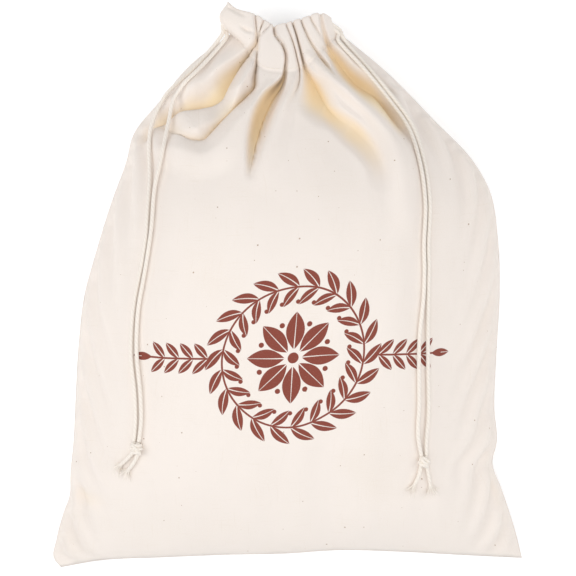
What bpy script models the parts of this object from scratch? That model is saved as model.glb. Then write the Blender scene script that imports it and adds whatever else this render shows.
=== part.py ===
"""A linen bread bag, filled out and lying on its back, with two drawstrings.

Two panels of cloth are sewn together along the sides and the bottom. Each has its
top edge turned over as a channel, and two cords in the channels gather the mouth.
The bag lies along Y with its mouth towards +Y, its back on z = 0 and its front up.

The tables are in millimetres, in the bag's own plan: x from the centre line,
y up from the lowest corner, z up from the surface that the bag lies on.
MM turns them into Blender's metres, and HALF_LENGTH puts the origin in the middle.
"""

import math

import bmesh
import bpy
import numpy as np
from mathutils import Vector
from mathutils.bvhtree import BVHTree

MM = 0.001
HALF_LENGTH = 180.7

CLOTH = 1.2          # a panel's thickness
HEM = 2.2            # the turned channel's thickness
SEAM_GAP = 0.3       # between the two panels' edges
LEAST_GAP = 0.45     # from a panel's inner face to the seam's own plane, off the seam
SEAM_EDGE = 0.4      # a panel's thickness right at the seam, where it is pressed flat
HEM_STEP = 0.8       # how far the channel stands above the cloth below it
CORD = 2.5           # a drawstring's diameter
CORD_CLEAR = 0.4     # between a cord and the cloth that it lies on

# ---------------------------------------------------------------- outlines

# The side seams, from the bottom corner up to the neck: x, y, z.
LEFT_SEAM = [
    (-146.5, 0.5, 11), (-151, 6, 11), (-149, 19, 14), (-143.5, 37, 22), (-138.6, 50, 28),
    (-138, 62, 31), (-135.5, 85, 35), (-134, 112, 37), (-132, 145, 38), (-128, 178, 38),
    (-122, 200, 38), (-111, 236, 37), (-102, 261, 36), (-98, 277, 35), (-82.5, 297.5, 33),
    (-62, 322.5, 29), (-36, 343, 25)]
RIGHT_SEAM = [
    (151, 6.5, 11), (148, 18, 14), (142.5, 35, 21), (135.5, 54, 28), (129.5, 71, 33),
    (132, 82, 34), (130.3, 105, 37), (131.5, 140, 38), (133.5, 178, 38), (132.5, 211, 38),
    (127, 243, 37), (119, 258, 36), (92, 287.5, 34), (62.5, 318, 30), (34.5, 342, 25)]
BOTTOM_SEAM = [
    (-146.5, 0.5, 11), (-123, 5.5, 17), (-78, 9, 25), (-39, 11, 28), (0, 12, 29),
    (30, 14, 29), (75, 12.5, 26), (113, 9.5, 19), (151, 6.5, 11)]

# The channel's stitched lower edge: across (0 left seam, 1 right seam), x, y,
# z on the front and z on the back.
HEM_LINE = [
    (0.00, -36, 343, 25, 25), (0.07, -31, 338, 30, 18), (0.15, -24.5, 329, 37, 12),
    (0.27, -17, 319, 43, 8), (0.42, -6, 316, 45, 7), (0.60, 6, 317, 45, 7),
    (0.75, 15, 323, 42, 8), (0.88, 24, 333, 36, 12), (0.95, 30, 339, 30, 19),
    (1.00, 34.5, 342, 25, 25)]
# The mouth's edge, with the loose ends of the channel standing out as two ears.
MOUTH_EDGE = [
    (0.00, -38.5, 361, 31, 31), (0.06, -33.5, 356.5, 34, 25), (0.16, -20, 352, 36, 15),
    (0.26, -11, 346.5, 37, 9), (0.44, -3, 346.5, 38, 8), (0.61, 4, 348.5, 38, 8),
    (0.77, 11, 350.5, 38, 8), (0.88, 19, 353, 37, 13), (0.94, 23.5, 352.8, 34, 25),
    (1.00, 27.5, 350.5, 31, 31)]
LEFT_EAR = [(-36, 343, 25), (-42, 348, 27), (-43.5, 353, 29), (-38.5, 361, 31)]
RIGHT_EAR = [(34.5, 342, 25), (31.2, 343.5, 27), (29.6, 346.5, 29), (27.5, 350.5, 31)]
EAR_REACH = 0.26     # how far across the mouth an ear's own outline is felt
CHANNEL_ENDS = 0.1   # how far across from a seam the channel reaches its full thickness

# ---------------------------------------------------------------- form

# Heights along the centre line: y, z.
FRONT_CROWN = [
    (12, 29), (16, 37), (23, 46), (34, 56), (52, 68), (78, 79), (108, 87), (142, 92.5),
    (178, 94), (212, 91), (242, 83), (268, 72), (290, 60), (305, 52), (316, 46)]
BACK_BELLY = [
    (12, 29), (18, 20), (28, 11), (44, 3), (62, -4), (100, -9), (180, -11), (250, -9),
    (285, -5), (302, 0), (316, 6)]
FRONT_ROUND = (2.7, 0.75)     # exponents of a section from seam to seam
BACK_ROUND = (2.6, 0.85)
BELLY_EASE = 3.0              # over which the back curls up from the surface

# Each fold runs down from the mouth: x, y, its width to the west and to the east,
# and its height, which is negative in a valley.
FOLDS = {
    "west valley": [
        (-19, 352, 3, 2.5, -5), (-20, 337, 3.5, 3, -6), (-25, 330, 4.5, 4, -7),
        (-29, 321, 7, 5, -7), (-33, 311, 11, 6, -8), (-39, 299, 18, 8, -9),
        (-50, 289, 20, 13, -8), (-66, 284, 18, 16, -5), (-80, 280, 12, 12, 0)],
    "west ridge": [
        (-24, 325, 3, 3, 2), (-31, 310, 5, 5, 4), (-35, 297, 6, 6, 4),
        (-45, 279, 8, 8, 3), (-56, 264, 9, 9, 0)],
    "inner west valley": [
        (-15, 352, 2.2, 2, -4), (-18.5, 335, 2.5, 2, -5), (-20, 318, 3, 2.5, -6),
        (-20, 308, 4, 3.5, -6), (-26, 298, 6, 5, -6), (-36, 285, 7, 6, -4),
        (-49, 266, 8, 8, 0)],
    "wedge valley": [
        (-8, 352, 2, 2, -4), (-6, 337, 2, 2, -4), (-1, 329, 2.3, 2, -4.5),
        (-1, 319, 2.8, 2.2, -6), (-3, 311, 4.5, 3, -9), (-8, 301, 7, 5, -12),
        (-12.5, 292, 8, 6, -13), (-16, 277, 8, 6, -11), (-19, 259, 7, 6, -7),
        (-22, 243, 7, 7, 0)],
    "east slit": [
        (-2.5, 353, 2, 2, -4), (2, 333, 2.2, 2.2, -5), (5, 323, 2.5, 2.5, -5),
        (7, 315, 3, 3, -5), (6, 306, 4, 4, -3), (4, 298, 5, 5, 0)],
    "east valley": [
        (2.5, 353, 2, 2, -4), (6.5, 335, 2.2, 2.2, -5), (9, 324, 2.5, 2.5, -6),
        (13.5, 314, 3, 5, -6), (17.5, 306, 4, 9, -7), (21, 296, 8, 12, -6),
        (27, 284, 12, 12, 0)],
    "outer east slit": [
        (7.5, 354, 2, 2, -4), (12, 338, 2.4, 2.4, -4), (17, 331, 2.8, 2.8, -4),
        (22, 324, 3.2, 3.2, -4), (29, 316, 4, 4, -3), (38, 306, 5, 5, 0)],
    "shoulder ridge": [
        (16, 326, 3, 4, 2), (31, 312, 6, 7, 5), (50, 299, 9, 9, 7), (63, 283, 11, 11, 8),
        (69, 259, 12, 13, 6), (71, 236, 13, 13, 3), (71, 212, 14, 14, 0)],
    "under the shoulder": [
        (27, 296, 7, 6, -2), (41, 280, 9, 7, -6), (51, 266, 8, 7, -6),
        (56, 252, 7, 7, -3), (58, 236, 8, 8, 0)],
    "outer shoulder valley": [
        (22, 340, 3, 3, -2), (29, 328, 4.5, 5, -4), (36, 313, 6, 8, -7),
        (46, 304, 8, 9, -8), (59, 292, 8, 9, -6), (68, 281, 9, 9, 0)],
    "wedge flank": [
        (1, 312, 4, 5, 2), (-2, 300, 6, 7, 4), (-8, 285, 7, 9, 4), (-14, 258, 8, 10, 2),
        (-18, 240, 9, 9, 0)],
    "west arc": [
        (-86, 262, 9, 9, 0), (-74, 268, 9, 9, 3), (-62, 271, 9, 8, 4),
        (-52, 263, 8, 8, 0)],
    "west corner fold": [
        (-139, 56, 9, 9, -3), (-128, 50, 10, 10, -4), (-114, 44, 11, 11, 0)],
    "east corner fold": [
        (127, 74, 8, 8, -3), (131, 60, 8, 8, -6), (136, 44, 8, 7, -4),
        (142, 26, 6, 6, -2), (147, 14, 4, 4, 0)],
}
# Soft swells of the filled cloth: x, y, radius across, radius along, height.
SWELLS = [
    (-62, 215, 48, 40, 4), (40, 185, 60, 45, 3), (-20, 120, 70, 45, 2.5),
    (88, 90, 45, 50, 3), (-92, 75, 40, 35, 3), (12, 50, 40, 28, -2.5),
    (-45, 165, 26, 50, -3), (98, 150, 26, 55, -3), (60, 40, 30, 22, 2)]
EDGE_FADE = (0.06, 0.05)    # how far in from the side and bottom seams the folds fade
HEM_RISE = 0.02             # how far up the channel its step reaches full height
# The back's pleats at the mouth, with where they start and are full, as shares.
BACK_PLEATS = 8
PLEAT_HALF_HEIGHT = 1.6
PLEATS_START, PLEATS_FULL, PLEAT_EDGE_FADE = 0.85, 1.05, 0.15

# ---------------------------------------------------------------- grids

# Columns across a panel, and rows up it: 0 to 1 from the bottom seam to the channel's
# stitching, 1 to 2 up the channel. The front has twice the columns in its upper rows.
COLUMNS = 32
COLUMN_SPREAD = 0.12  # how much the columns draw together towards the seams
LOWER_ROWS = [0, 0.012, 0.03, 0.055, 0.09, 0.14, 0.2, 0.27, 0.34, 0.41, 0.47]
UPPER_ROWS = [
    0.52, 0.565, 0.61, 0.65, 0.69, 0.725, 0.76, 0.79, 0.82, 0.85, 0.88, 0.91, 0.94,
    0.97, 0.996, 1.02, 1.2, 1.4, 1.6, 1.8, 2]

# ---------------------------------------------------------------- cords

# Plan routes of the strands, from the channel's end down to the knot: x, y.
CORD_ROUTES = {
    "cord_left_a": [
        (-41.2, 344), (-43.6, 339.3), (-50.6, 330), (-59.6, 319.6), (-68.6, 311),
        (-76.6, 302.6), (-81.2, 294.1), (-84.6, 285.4), (-86.3, 276.9), (-86.3, 266.8),
        (-85.4, 246.6), (-86.2, 226.8), (-86.8, 213), (-88.7, 199.1), (-93.9, 171),
        (-95.8, 141.8), (-93.3, 112.5), (-93.2, 97.8), (-94.4, 86.6)],
    "cord_left_b": [
        (-38.8, 341.6), (-41.6, 336.4), (-48.6, 327.4), (-57.6, 316.9), (-66, 308),
        (-71.2, 299.9), (-74.6, 284), (-77.5, 265), (-81.8, 243.5), (-83.6, 216),
        (-88.3, 185), (-90.9, 170.6), (-92.3, 141.9), (-89.8, 112.6), (-89.7, 98),
        (-91.3, 86.6)],
    "cord_right_a": [
        (31.6, 339.4), (34.8, 333.9), (42.6, 324.9), (51.8, 313.5), (63, 299.2),
        (74.5, 281.6), (81.2, 257.5), (83.8, 234), (82.6, 203.8), (82.8, 196.4),
        (82.5, 179.6), (79.8, 149.6), (79.9, 109.2), (79.6, 88.7), (81.8, 77.9)],
    "cord_right_b": [
        (34.2, 341.6), (37.4, 335.9), (44.8, 326.9), (53.9, 315.5), (65.2, 301),
        (77.1, 282.6), (84, 258.1), (86.6, 234), (85.4, 203.6), (85.6, 196.4),
        (85.3, 179), (85.1, 159.6), (85.4, 129.4), (85.6, 99), (84.7, 88.7), (85, 77.9)],
}
STRAND_POINTS = 32
BRIDGING = 40        # rounds of easing that carry a strand over small dips
SLOPE_ROOM = 0.8     # the least share of a piece's reach that it keeps on a slope
RAISE = 0.2          # the step by which a piece is lifted off the cloth
EXIT_HEIGHT = 28     # of the slits in the side seams that the strands leave by

# A knot's middle, its half sizes, and the plan points of its tails.
KNOTS = {
    "knot_left": {
        "middle": (-92.8, 82.4), "half": (4.0, 3.6, 3.0),
        "tails": [[(-95, 80), (-99, 75.5), (-103.5, 71.5)],
                  [(-92, 79), (-94.5, 74), (-98.5, 68.5)]]},
    "knot_right": {
        "middle": (83.4, 74.1), "half": (3.6, 3.3, 2.9),
        "tails": [[(81.6, 71), (80.6, 65.5), (77.6, 59)],
                  [(85.2, 71), (86.6, 65.5), (88, 58.5)]]},
}
TAIL_POINTS = 6
WRAP = 0.85          # a wrap's radius as a share of the knot's half height
WRAP_THICKNESS = 0.42  # its own radius as a share of the cord's diameter
WRAP_TURNS = (-0.6, 0.75)
FRAYS = 6            # loose yarns at the end of a tail
FRAY_LENGTH = 8.0
FRAY_LENGTHS = [1.0, 0.62, 0.85, 0.7, 0.95]    # of one yarn after the other, as shares
FRAY_WIDTH = 0.9
FRAY_SPREAD = 1.5    # radians between a tail's outermost yarns
FRAY_ROOT = 1.2      # how deep the yarns start inside their tail
FRAY_TAPER = [(0, 1), (0.35, 0.9), (0.7, 0.7), (1, 0.35)]    # along, width

CLOTH_COLOUR = (0.84, 0.78, 0.68)
CLOTH_ROUGHNESS = 0.9
CORD_COLOUR = (0.86, 0.81, 0.73)
CORD_ROUGHNESS = 0.85


# ---------------------------------------------------------------- curves

def curve(points, knots=None):
    """A smooth line through the points, as a function of 0..1."""
    points = np.array(points, float)
    if knots is None:
        steps = np.linalg.norm(np.diff(points, axis=0), axis=1)
        knots = np.concatenate([[0], np.cumsum(steps)]) / steps.sum()
    knots = np.array(knots, float)
    slopes = np.gradient(points, knots, axis=0)

    def at(t):
        t = np.clip(np.asarray(t, float), knots[0], knots[-1])
        i = np.clip(np.searchsorted(knots, t, side="right") - 1, 0, len(knots) - 2)
        span = knots[i + 1] - knots[i]
        s = ((t - knots[i]) / span)[..., None]
        span = span[..., None]
        return ((2 * s**3 - 3 * s**2 + 1) * points[i] + (s**3 - 2 * s**2 + s) * span * slopes[i]
                + (3 * s**2 - 2 * s**3) * points[i + 1] + (s**3 - s**2) * span * slopes[i + 1])
    return at


def height_line(rows):
    """z along the centre line, as a function of y."""
    rows = np.array(rows, float)
    line = curve(rows[:, 1:], rows[:, 0])
    return lambda y: line(y)[..., 0]


def coons(u, v, bottom, top, left, right):
    """A patch spanned between four edges that share their corners."""
    u, v = u[..., None], v[..., None]
    corners = ((1 - u) * (1 - v) * bottom(0.0) + u * (1 - v) * bottom(1.0)
               + (1 - u) * v * top(0.0) + u * v * top(1.0))
    return ((1 - v) * bottom(u[..., 0]) + v * top(u[..., 0])
            + (1 - u) * left(v[..., 0]) + u * right(v[..., 0]) - corners)


def smoothstep(t):
    t = np.clip(t, 0, 1)
    return t * t * (3 - 2 * t)


# ---------------------------------------------------------------- panels

def seam_patch(u, v, hem, mouth):
    """A panel as if its seams held it flat: the body, then the channel with its ears."""
    body = coons(u, np.clip(v, 0, 1), curve(BOTTOM_SEAM), hem, curve(LEFT_SEAM),
                 curve(RIGHT_SEAM))
    rise = np.clip(v - 1, 0, 1)
    channel = (1 - rise)[..., None] * hem(u) + rise[..., None] * mouth(u)
    for ear, near in ((LEFT_EAR, u), (RIGHT_EAR, 1 - u)):
        edge = curve(ear)
        straight = (1 - rise)[..., None] * edge(0.0) + rise[..., None] * edge(1.0)
        felt = 1 - smoothstep(near / EAR_REACH)
        channel += felt[..., None] * (edge(rise) - straight)
    return np.where((v <= 1)[..., None], body, channel)


def mouth_lines(side):
    """The channel's two edges on the front (0), on the back (1) or half way (0.5)."""
    lines = []
    for rows in (HEM_LINE, MOUTH_EDGE):
        rows = np.array(rows, float)
        z = rows[:, 3] * (1 - side) + rows[:, 4] * side
        lines.append(curve(np.stack([rows[:, 1], rows[:, 2], z], 1), rows[:, 0]))
    return lines


def panel_surface(u, v, side):
    """A panel's smooth form, before its folds."""
    points = seam_patch(u, v, *mouth_lines(side))
    middle = seam_patch(np.full_like(v, 0.5), v, *mouth_lines(side))
    line = height_line(BACK_BELLY if side else FRONT_CROWN)
    swell = np.where(v < 1, line(middle[..., 1]) - middle[..., 2], 0)
    power, fullness = BACK_ROUND if side else FRONT_ROUND
    section = np.clip(1 - np.abs(2 * u - 1) ** power, 0, 1) ** fullness
    points[..., 2] += swell * section
    if side:
        z = points[..., 2]
        eased = (z + BELLY_EASE) ** 2 / (4 * BELLY_EASE)
        points[..., 2] = np.where(z < -BELLY_EASE, 0, np.where(z < BELLY_EASE, eased, z))
    return points


def fold_height(x, y, rows):
    """How much one fold raises or lowers the plan points x, y."""
    rows = np.array(rows, float)
    line = curve(rows)(np.linspace(0, 1, 8 * len(rows)))
    start, run = line[:-1], np.diff(line, axis=0)
    way = run[:, :2]
    away = np.stack([x, y], -1)[..., None, :] - start[:, :2]
    along = np.clip((away * way).sum(-1) / (way**2).sum(-1), 0, 1)
    offset = away - along[..., None] * way
    distance = np.hypot(offset[..., 0], offset[..., 1])
    nearest = distance.argmin(-1)
    every = np.arange(len(x))
    along, offset, distance = (part[every, nearest] for part in (along, offset, distance))
    eastward = way[nearest, 0] * offset[:, 1] - way[nearest, 1] * offset[:, 0] > 0
    here = start[nearest] + along[:, None] * run[nearest]
    width = np.where(eastward, here[:, 3], here[:, 2])
    reach = np.clip(distance / np.maximum(width, 0.1), 0, 1)
    return here[:, 4] * (1 - reach**2) ** 2


def front_relief(u, v, points):
    """The front's folds and swells along one row, fading to nothing at the seams."""
    x, y = points[:, 0], points[:, 1]
    relief = np.zeros_like(x)
    for rows in FOLDS.values():
        relief += fold_height(x, y, rows)
    for middle_x, middle_y, across, along, height in SWELLS:
        reach = ((x - middle_x) / across) ** 2 + ((y - middle_y) / along) ** 2
        relief += height * np.exp(-reach)
    relief[1:-1] = (relief[:-2] + 2 * relief[1:-1] + relief[2:]) / 4
    relief += HEM_STEP * smoothstep((v - 1) / HEM_RISE)
    from_sides, from_bottom = EDGE_FADE
    edge = np.minimum(np.minimum(u, 1 - u) / from_sides, v / from_bottom)
    return relief * smoothstep(edge)


def back_relief(u, v, points):
    """The back's plain pleats, which grow from the neck up to the mouth."""
    wave = PLEAT_HALF_HEIGHT * np.sin(2 * math.pi * BACK_PLEATS * u)
    edge = smoothstep(np.minimum(u, 1 - u) / PLEAT_EDGE_FADE)
    depth = smoothstep((v - PLEATS_START) / (PLEATS_FULL - PLEATS_START))
    return np.maximum(wave * edge * depth, -points[:, 2])


def panel_row(v, side):
    """One row of a panel: points, relief, which are sewn, and how much is channel."""
    count = COLUMNS * (2 if v in UPPER_ROWS and not side else 1) + 1
    t = np.linspace(-1, 1, count)
    u = (t * (1 + COLUMN_SPREAD - COLUMN_SPREAD * t**2) + 1) / 2
    v = np.full(count, float(v))
    points = panel_surface(u, v, side)
    channel = smoothstep(np.minimum(u, 1 - u) / CHANNEL_ENDS) * (v > 1)

    # Between the seams the wall stays on its own side of the seams' plane.
    least = LEAST_GAP + CLOTH + (HEM - CLOTH) * channel
    plane = seam_patch(u, v, *mouth_lines(0.5))[:, 2]
    if side:
        relief = np.minimum(back_relief(u, v, points), plane - least - points[:, 2])
    else:
        relief = np.maximum(front_relief(u, v, points), plane + least - points[:, 2])
    sewn = np.isin(np.arange(count), (0, count - 1)) | (v == 0)
    return points, np.where(sewn, 0, relief), sewn, channel


def sheet_mesh(name, side):
    """An open sheet of the panel, with its relief kept for after the thickening."""
    bm = bmesh.new()
    relief_layer = bm.verts.layers.float.new("relief")
    place_layer = bm.verts.layers.float_vector.new("place")
    sewn_layer = bm.verts.layers.float.new("sewn")
    channel_layer = bm.verts.layers.deform.verify()
    rows = []
    for v in LOWER_ROWS + UPPER_ROWS:
        row = []
        for point, relief, sewn, channel in zip(*panel_row(v, side)):
            vert = bm.verts.new(point)
            vert[relief_layer] = relief
            vert[place_layer] = point
            vert[sewn_layer] = float(sewn)
            vert[channel_layer][0] = channel
            row.append(vert)
        rows.append(row)

    for low, high in zip(rows, rows[1:]):
        for k in range(len(low) - 1):
            if len(low) == len(high):
                bm.faces.new((low[k], low[k + 1], high[k + 1], high[k]))
            else:
                bm.faces.new((low[k], high[2 * k + 1], high[2 * k]))
                bm.faces.new((low[k], low[k + 1], high[2 * k + 1]))
                bm.faces.new((low[k + 1], high[2 * k + 2], high[2 * k + 1]))
    if side:
        bmesh.ops.reverse_faces(bm, faces=bm.faces)
    mesh = bpy.data.meshes.new(name)
    bm.to_mesh(mesh)
    bm.free()
    return mesh


def panel(name, side, collection, cloth):
    """A panel: its sheet thickened inwards, pressed flat at the seams, then folded."""
    sheet = add(name + "_sheet", sheet_mesh(name + "_sheet", side), collection)
    sheet.vertex_groups.new(name="channel")
    wall = sheet.modifiers.new("wall", "SOLIDIFY")
    wall.thickness = HEM
    wall.offset = -1
    wall.vertex_group = "channel"
    wall.thickness_vertex_group = CLOTH / HEM
    mesh = evaluated_mesh(sheet, name)
    bpy.data.objects.remove(sheet)

    outward = -1 if side else 1
    relief, place, sewn = (mesh.attributes[key].data for key in ("relief", "place", "sewn"))
    for i, vert in enumerate(mesh.vertices):
        if sewn[i].value > 0.5:
            seam = Vector(place[i].vector)
            outer = (vert.co - seam).length < 0.01
            vert.co = seam
            vert.co.z += outward * (SEAM_GAP / 2 + (SEAM_EDGE if outer else 0))
        vert.co.z += relief[i].value
        vert.co.y -= HALF_LENGTH
        vert.co *= MM
    return finish(add(name, mesh, collection), cloth)


# ---------------------------------------------------------------- cords and knots

def world(x, y, z):
    return Vector((x * MM, (y - HALF_LENGTH) * MM, z * MM))


def cloth_tree(*panels):
    bm = bmesh.new()
    for obj in panels:
        bm.from_mesh(obj.data)
    tree = BVHTree.FromBMesh(bm)
    bm.free()
    return tree


def settle(tree, x, y, reach):
    """The lowest point over x, y that is at least reach from the cloth all round."""
    point = world(x, y, 2 * HALF_LENGTH)
    hit = tree.ray_cast(point, Vector((0, 0, -1)))[0]
    point.z = (hit.z if hit else EXIT_HEIGHT * MM) + SLOPE_ROOM * reach
    return lift_clear(tree, point, reach)


def lift_clear(tree, point, reach):
    while tree.find_nearest(point, reach)[0] is not None:
        point.z += RAISE * MM
    return point


def lay_on(tree, route):
    """A plan route laid on the cloth, bridging small dips as a soft cord does."""
    fine = 4
    reach = (CORD / 2 + CORD_CLEAR) * MM
    plan = curve(route)(np.linspace(0, 1, fine * STRAND_POINTS + 1))
    points = [settle(tree, x, y, reach) for x, y in plan]
    for _ in range(BRIDGING):
        for low, here, high in zip(points, points[1:], points[2:]):
            here.z = max(here.z, (low.z + high.z) / 2)
    points = points[::fine]
    for low, high in zip(points, points[1:]):
        for part in (0.25, 0.5, 0.75):
            while tree.find_nearest(low.lerp(high, part), reach)[0] is not None:
                low.z += RAISE * MM
                high.z += RAISE * MM
    return points


def tube(name, points, radius, sides, collection, taper=None):
    """A curve with round walls and filled caps. sides is 4 or 8."""
    data = bpy.data.curves.new(name, "CURVE")
    data.dimensions = "3D"
    data.bevel_depth = radius * MM
    data.bevel_resolution = {4: 0, 8: 2}[sides]
    data.use_fill_caps = True
    spline = data.splines.new("POLY")
    spline.points.add(len(points) - 1)
    for k, point in enumerate(points):
        spline.points[k].co = (*point, 1)
        spline.points[k].radius = taper[k] if taper else 1
    return add(name, data, collection)


def tail(middle, route, number, tree, collection):
    """One loose end from the middle of a knot, with its yarns coming apart."""
    reach = (CORD / 2 + CORD_CLEAR) * MM
    plan = curve(route)(np.linspace(0, 1, TAIL_POINTS))
    points = [middle] + [settle(tree, x, y, reach) for x, y in plan]
    pieces = [tube("tail", points, CORD / 2, 8, collection)]
    ahead = (points[-1] - points[-3]).normalized()
    beside = Vector((-ahead.y, ahead.x, 0))
    for k in range(FRAYS):
        turn = (k / (FRAYS - 1) - 0.5) * FRAY_SPREAD
        way = ahead * math.cos(turn) + beside * math.sin(turn)
        length = FRAY_LENGTH * FRAY_LENGTHS[(k + number) % len(FRAY_LENGTHS)]
        root = points[-1] - ahead * FRAY_ROOT * MM + beside * turn * MM
        yarn = [root + way * (length * along * MM) for along, _ in FRAY_TAPER]
        yarn[1:] = [lift_clear(tree, p, (FRAY_WIDTH / 2 + CORD_CLEAR) * MM) for p in yarn[1:]]
        pieces.append(tube("yarn", yarn, FRAY_WIDTH / 2, 4, collection,
                           [width for _, width in FRAY_TAPER]))
    return pieces


def knot(name, facts, tree, collection, cotton):
    """An overhand knot: a lump with two wraps over it, and its two frayed tails."""
    half = Vector(facts["half"])
    wrap = WRAP * half.z
    thickness = WRAP_THICKNESS * CORD
    middle = settle(tree, *facts["middle"], (wrap + thickness + CORD_CLEAR) * MM)

    bpy.ops.mesh.primitive_uv_sphere_add(segments=14, ring_count=8, radius=1, location=middle)
    lump = bpy.context.object
    lump.scale = half * MM
    pieces = [lump]
    for turn in WRAP_TURNS:
        bpy.ops.mesh.primitive_torus_add(
            location=middle, rotation=(math.pi / 2, turn, turn / 2), major_segments=14,
            minor_segments=6, major_radius=wrap * MM, minor_radius=thickness * MM)
        pieces.append(bpy.context.object)
    for number, route in enumerate(facts["tails"]):
        pieces += tail(middle, route, number, tree, collection)
    return finish(add(name, fused(name, pieces, collection), collection), cotton)


def fused(name, pieces, collection):
    """One mesh, in world space, from pieces that run into each other."""
    base, *others = pieces
    for piece in others:
        if piece.type == "CURVE":
            piece = as_mesh(piece, collection)
        join = base.modifiers.new("join", "BOOLEAN")
        join.operation = "UNION"
        join.object = piece
    mesh = evaluated_mesh(base, name)
    mesh.transform(base.matrix_world)
    joined = [join.object for join in base.modifiers]
    for piece in [base] + joined:
        bpy.data.objects.remove(piece)
    return mesh


def as_mesh(obj, collection):
    """A curve object made a mesh, with its caps welded on."""
    mesh = evaluated_mesh(obj, obj.name)
    bm = bmesh.new()
    bm.from_mesh(mesh)
    bmesh.ops.remove_doubles(bm, verts=bm.verts, dist=0.001 * MM)
    bm.to_mesh(mesh)
    bm.free()
    made = add(obj.name + "_mesh", mesh, collection)
    made.matrix_world = obj.matrix_world
    bpy.data.objects.remove(obj)
    return made


# ---------------------------------------------------------------- set-up

def add(name, data, collection):
    obj = bpy.data.objects.new(name, data)
    collection.objects.link(obj)
    return obj


def evaluated_mesh(obj, name):
    evaluated = obj.evaluated_get(bpy.context.evaluated_depsgraph_get())
    mesh = bpy.data.meshes.new_from_object(evaluated)
    mesh.name = name
    return mesh


def material(name, colour, roughness):
    made = bpy.data.materials.new(name)
    made.use_nodes = True
    shader = made.node_tree.nodes["Principled BSDF"]
    shader.inputs["Base Color"].default_value = (*colour, 1)
    shader.inputs["Roughness"].default_value = roughness
    shader.inputs["Metallic"].default_value = 0
    return made


def finish(obj, made):
    obj.data.materials.clear()
    obj.data.materials.append(made)
    obj.data.shade_smooth()
    obj.data.set_sharp_from_angle(angle=math.radians(50))
    return obj


def build():
    for obj in list(bpy.data.objects):
        bpy.data.objects.remove(obj)
    bag = bpy.data.collections.new("linen_bread_bag")
    bpy.context.scene.collection.children.link(bag)

    cloth = material("cloth", CLOTH_COLOUR, CLOTH_ROUGHNESS)
    cotton = material("cord", CORD_COLOUR, CORD_ROUGHNESS)
    front = panel("front_panel", 0, bag, cloth)
    back = panel("back_panel", 1, bag, cloth)

    tree = cloth_tree(front, back)
    for name, route in CORD_ROUTES.items():
        strand = tube(name, lay_on(tree, route), CORD / 2, 8, bag)
        strand.data.materials.append(cotton)
    for name, facts in KNOTS.items():
        knot(name, facts, tree, bag, cotton)


build()
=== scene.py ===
# %% [markdown]
# # A linen bread bag
#
# Two panels of unbleached linen are sewn together at the sides and the bottom. The top
# edge of each is turned over as a channel, and two cotton drawstrings in the channels
# gather the mouth. The bag is filled out and lies on its back. This lesson dresses the
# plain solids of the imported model: cloth with folds, twisted cords, knots and a print.

import math
import random

import bmesh
import bpy
import numpy as np
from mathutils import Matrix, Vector, noise
from mathutils.bvhtree import BVHTree


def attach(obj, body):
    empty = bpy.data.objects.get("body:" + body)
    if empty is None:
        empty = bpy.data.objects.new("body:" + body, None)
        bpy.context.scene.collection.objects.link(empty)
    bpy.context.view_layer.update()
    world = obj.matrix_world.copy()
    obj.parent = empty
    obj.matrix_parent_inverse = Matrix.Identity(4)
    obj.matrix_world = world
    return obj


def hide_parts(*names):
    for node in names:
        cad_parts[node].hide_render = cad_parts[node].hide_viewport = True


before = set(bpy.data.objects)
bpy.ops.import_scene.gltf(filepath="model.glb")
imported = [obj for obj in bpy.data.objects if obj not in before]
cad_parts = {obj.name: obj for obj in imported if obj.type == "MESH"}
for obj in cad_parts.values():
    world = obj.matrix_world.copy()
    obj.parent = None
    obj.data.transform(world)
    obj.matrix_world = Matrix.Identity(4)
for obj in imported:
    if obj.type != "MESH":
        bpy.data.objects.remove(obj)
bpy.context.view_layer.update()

# %% [markdown]
# ## The camera
#
# The bag is looked at from straight above, with its mouth at the top of the picture.
# A long lens from 1.2 m keeps the outline nearly free of perspective.

# %% The camera
CAMERA_HEIGHT = 1.2
SEAM_HEIGHT = 0.03         # the height at which the picture's width is measured
PICTURE_WIDTH = 0.3658
SENSOR = 36.0

scene = bpy.context.scene
camera_data = bpy.data.cameras.new("camera")
camera_data.sensor_width = SENSOR
camera_data.lens = SENSOR * (CAMERA_HEIGHT - SEAM_HEIGHT) / PICTURE_WIDTH
camera = bpy.data.objects.new("camera", camera_data)
camera.location = (0, 0, CAMERA_HEIGHT)
scene.collection.objects.link(camera)
scene.camera = camera
print(f"lens {camera_data.lens:.0f} mm")

# %% [markdown]
# ## Light and floor
#
# Pale cloth needs soft light, or its folds turn hard and grey. Wide soft boxes at the
# sides and high above do most of the work. A weaker one stands at the foot of the bag
# and none at its mouth, so the neck's slopes fall into gentle shade. The floor glows a
# little, to stay white under the bag. The standard view keeps whites white.

# %% Light and floor
BAG_MIDDLE = Vector((0, 0, 0.04))
SOFTBOXES = {   # place, side length in metres, power in watts
    "left_softbox": ((-1.1, 0.0, 0.95), 0.9, 6.0),
    "right_softbox": ((1.1, 0.0, 0.95), 0.9, 5.0),
    "foot_softbox": ((0.0, -1.0, 1.1), 0.9, 2.7),
    "high_softbox": ((-0.15, -0.1, 1.6), 0.9, 6.0),
}
AMBIENT = 0.49
SKY_COLOUR = (0.955, 0.975, 1.0)
FLOOR_SIDE = 6.0
FLOOR_COLOUR = (0.94, 0.94, 0.94)
FLOOR_ROUGHNESS = 0.8
FLOOR_GLOW = 0.22          # lifts the bag's faint shadow on the white sheet
FLOOR_DROP = 0.0004        # keeps the floor just clear of the bag

scene.view_settings.view_transform = "Standard"
world = bpy.data.worlds.new("studio")
world.use_nodes = True
world.node_tree.nodes["Background"].inputs["Color"].default_value = (*SKY_COLOUR, 1)
world.node_tree.nodes["Background"].inputs["Strength"].default_value = AMBIENT
scene.world = world

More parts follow.
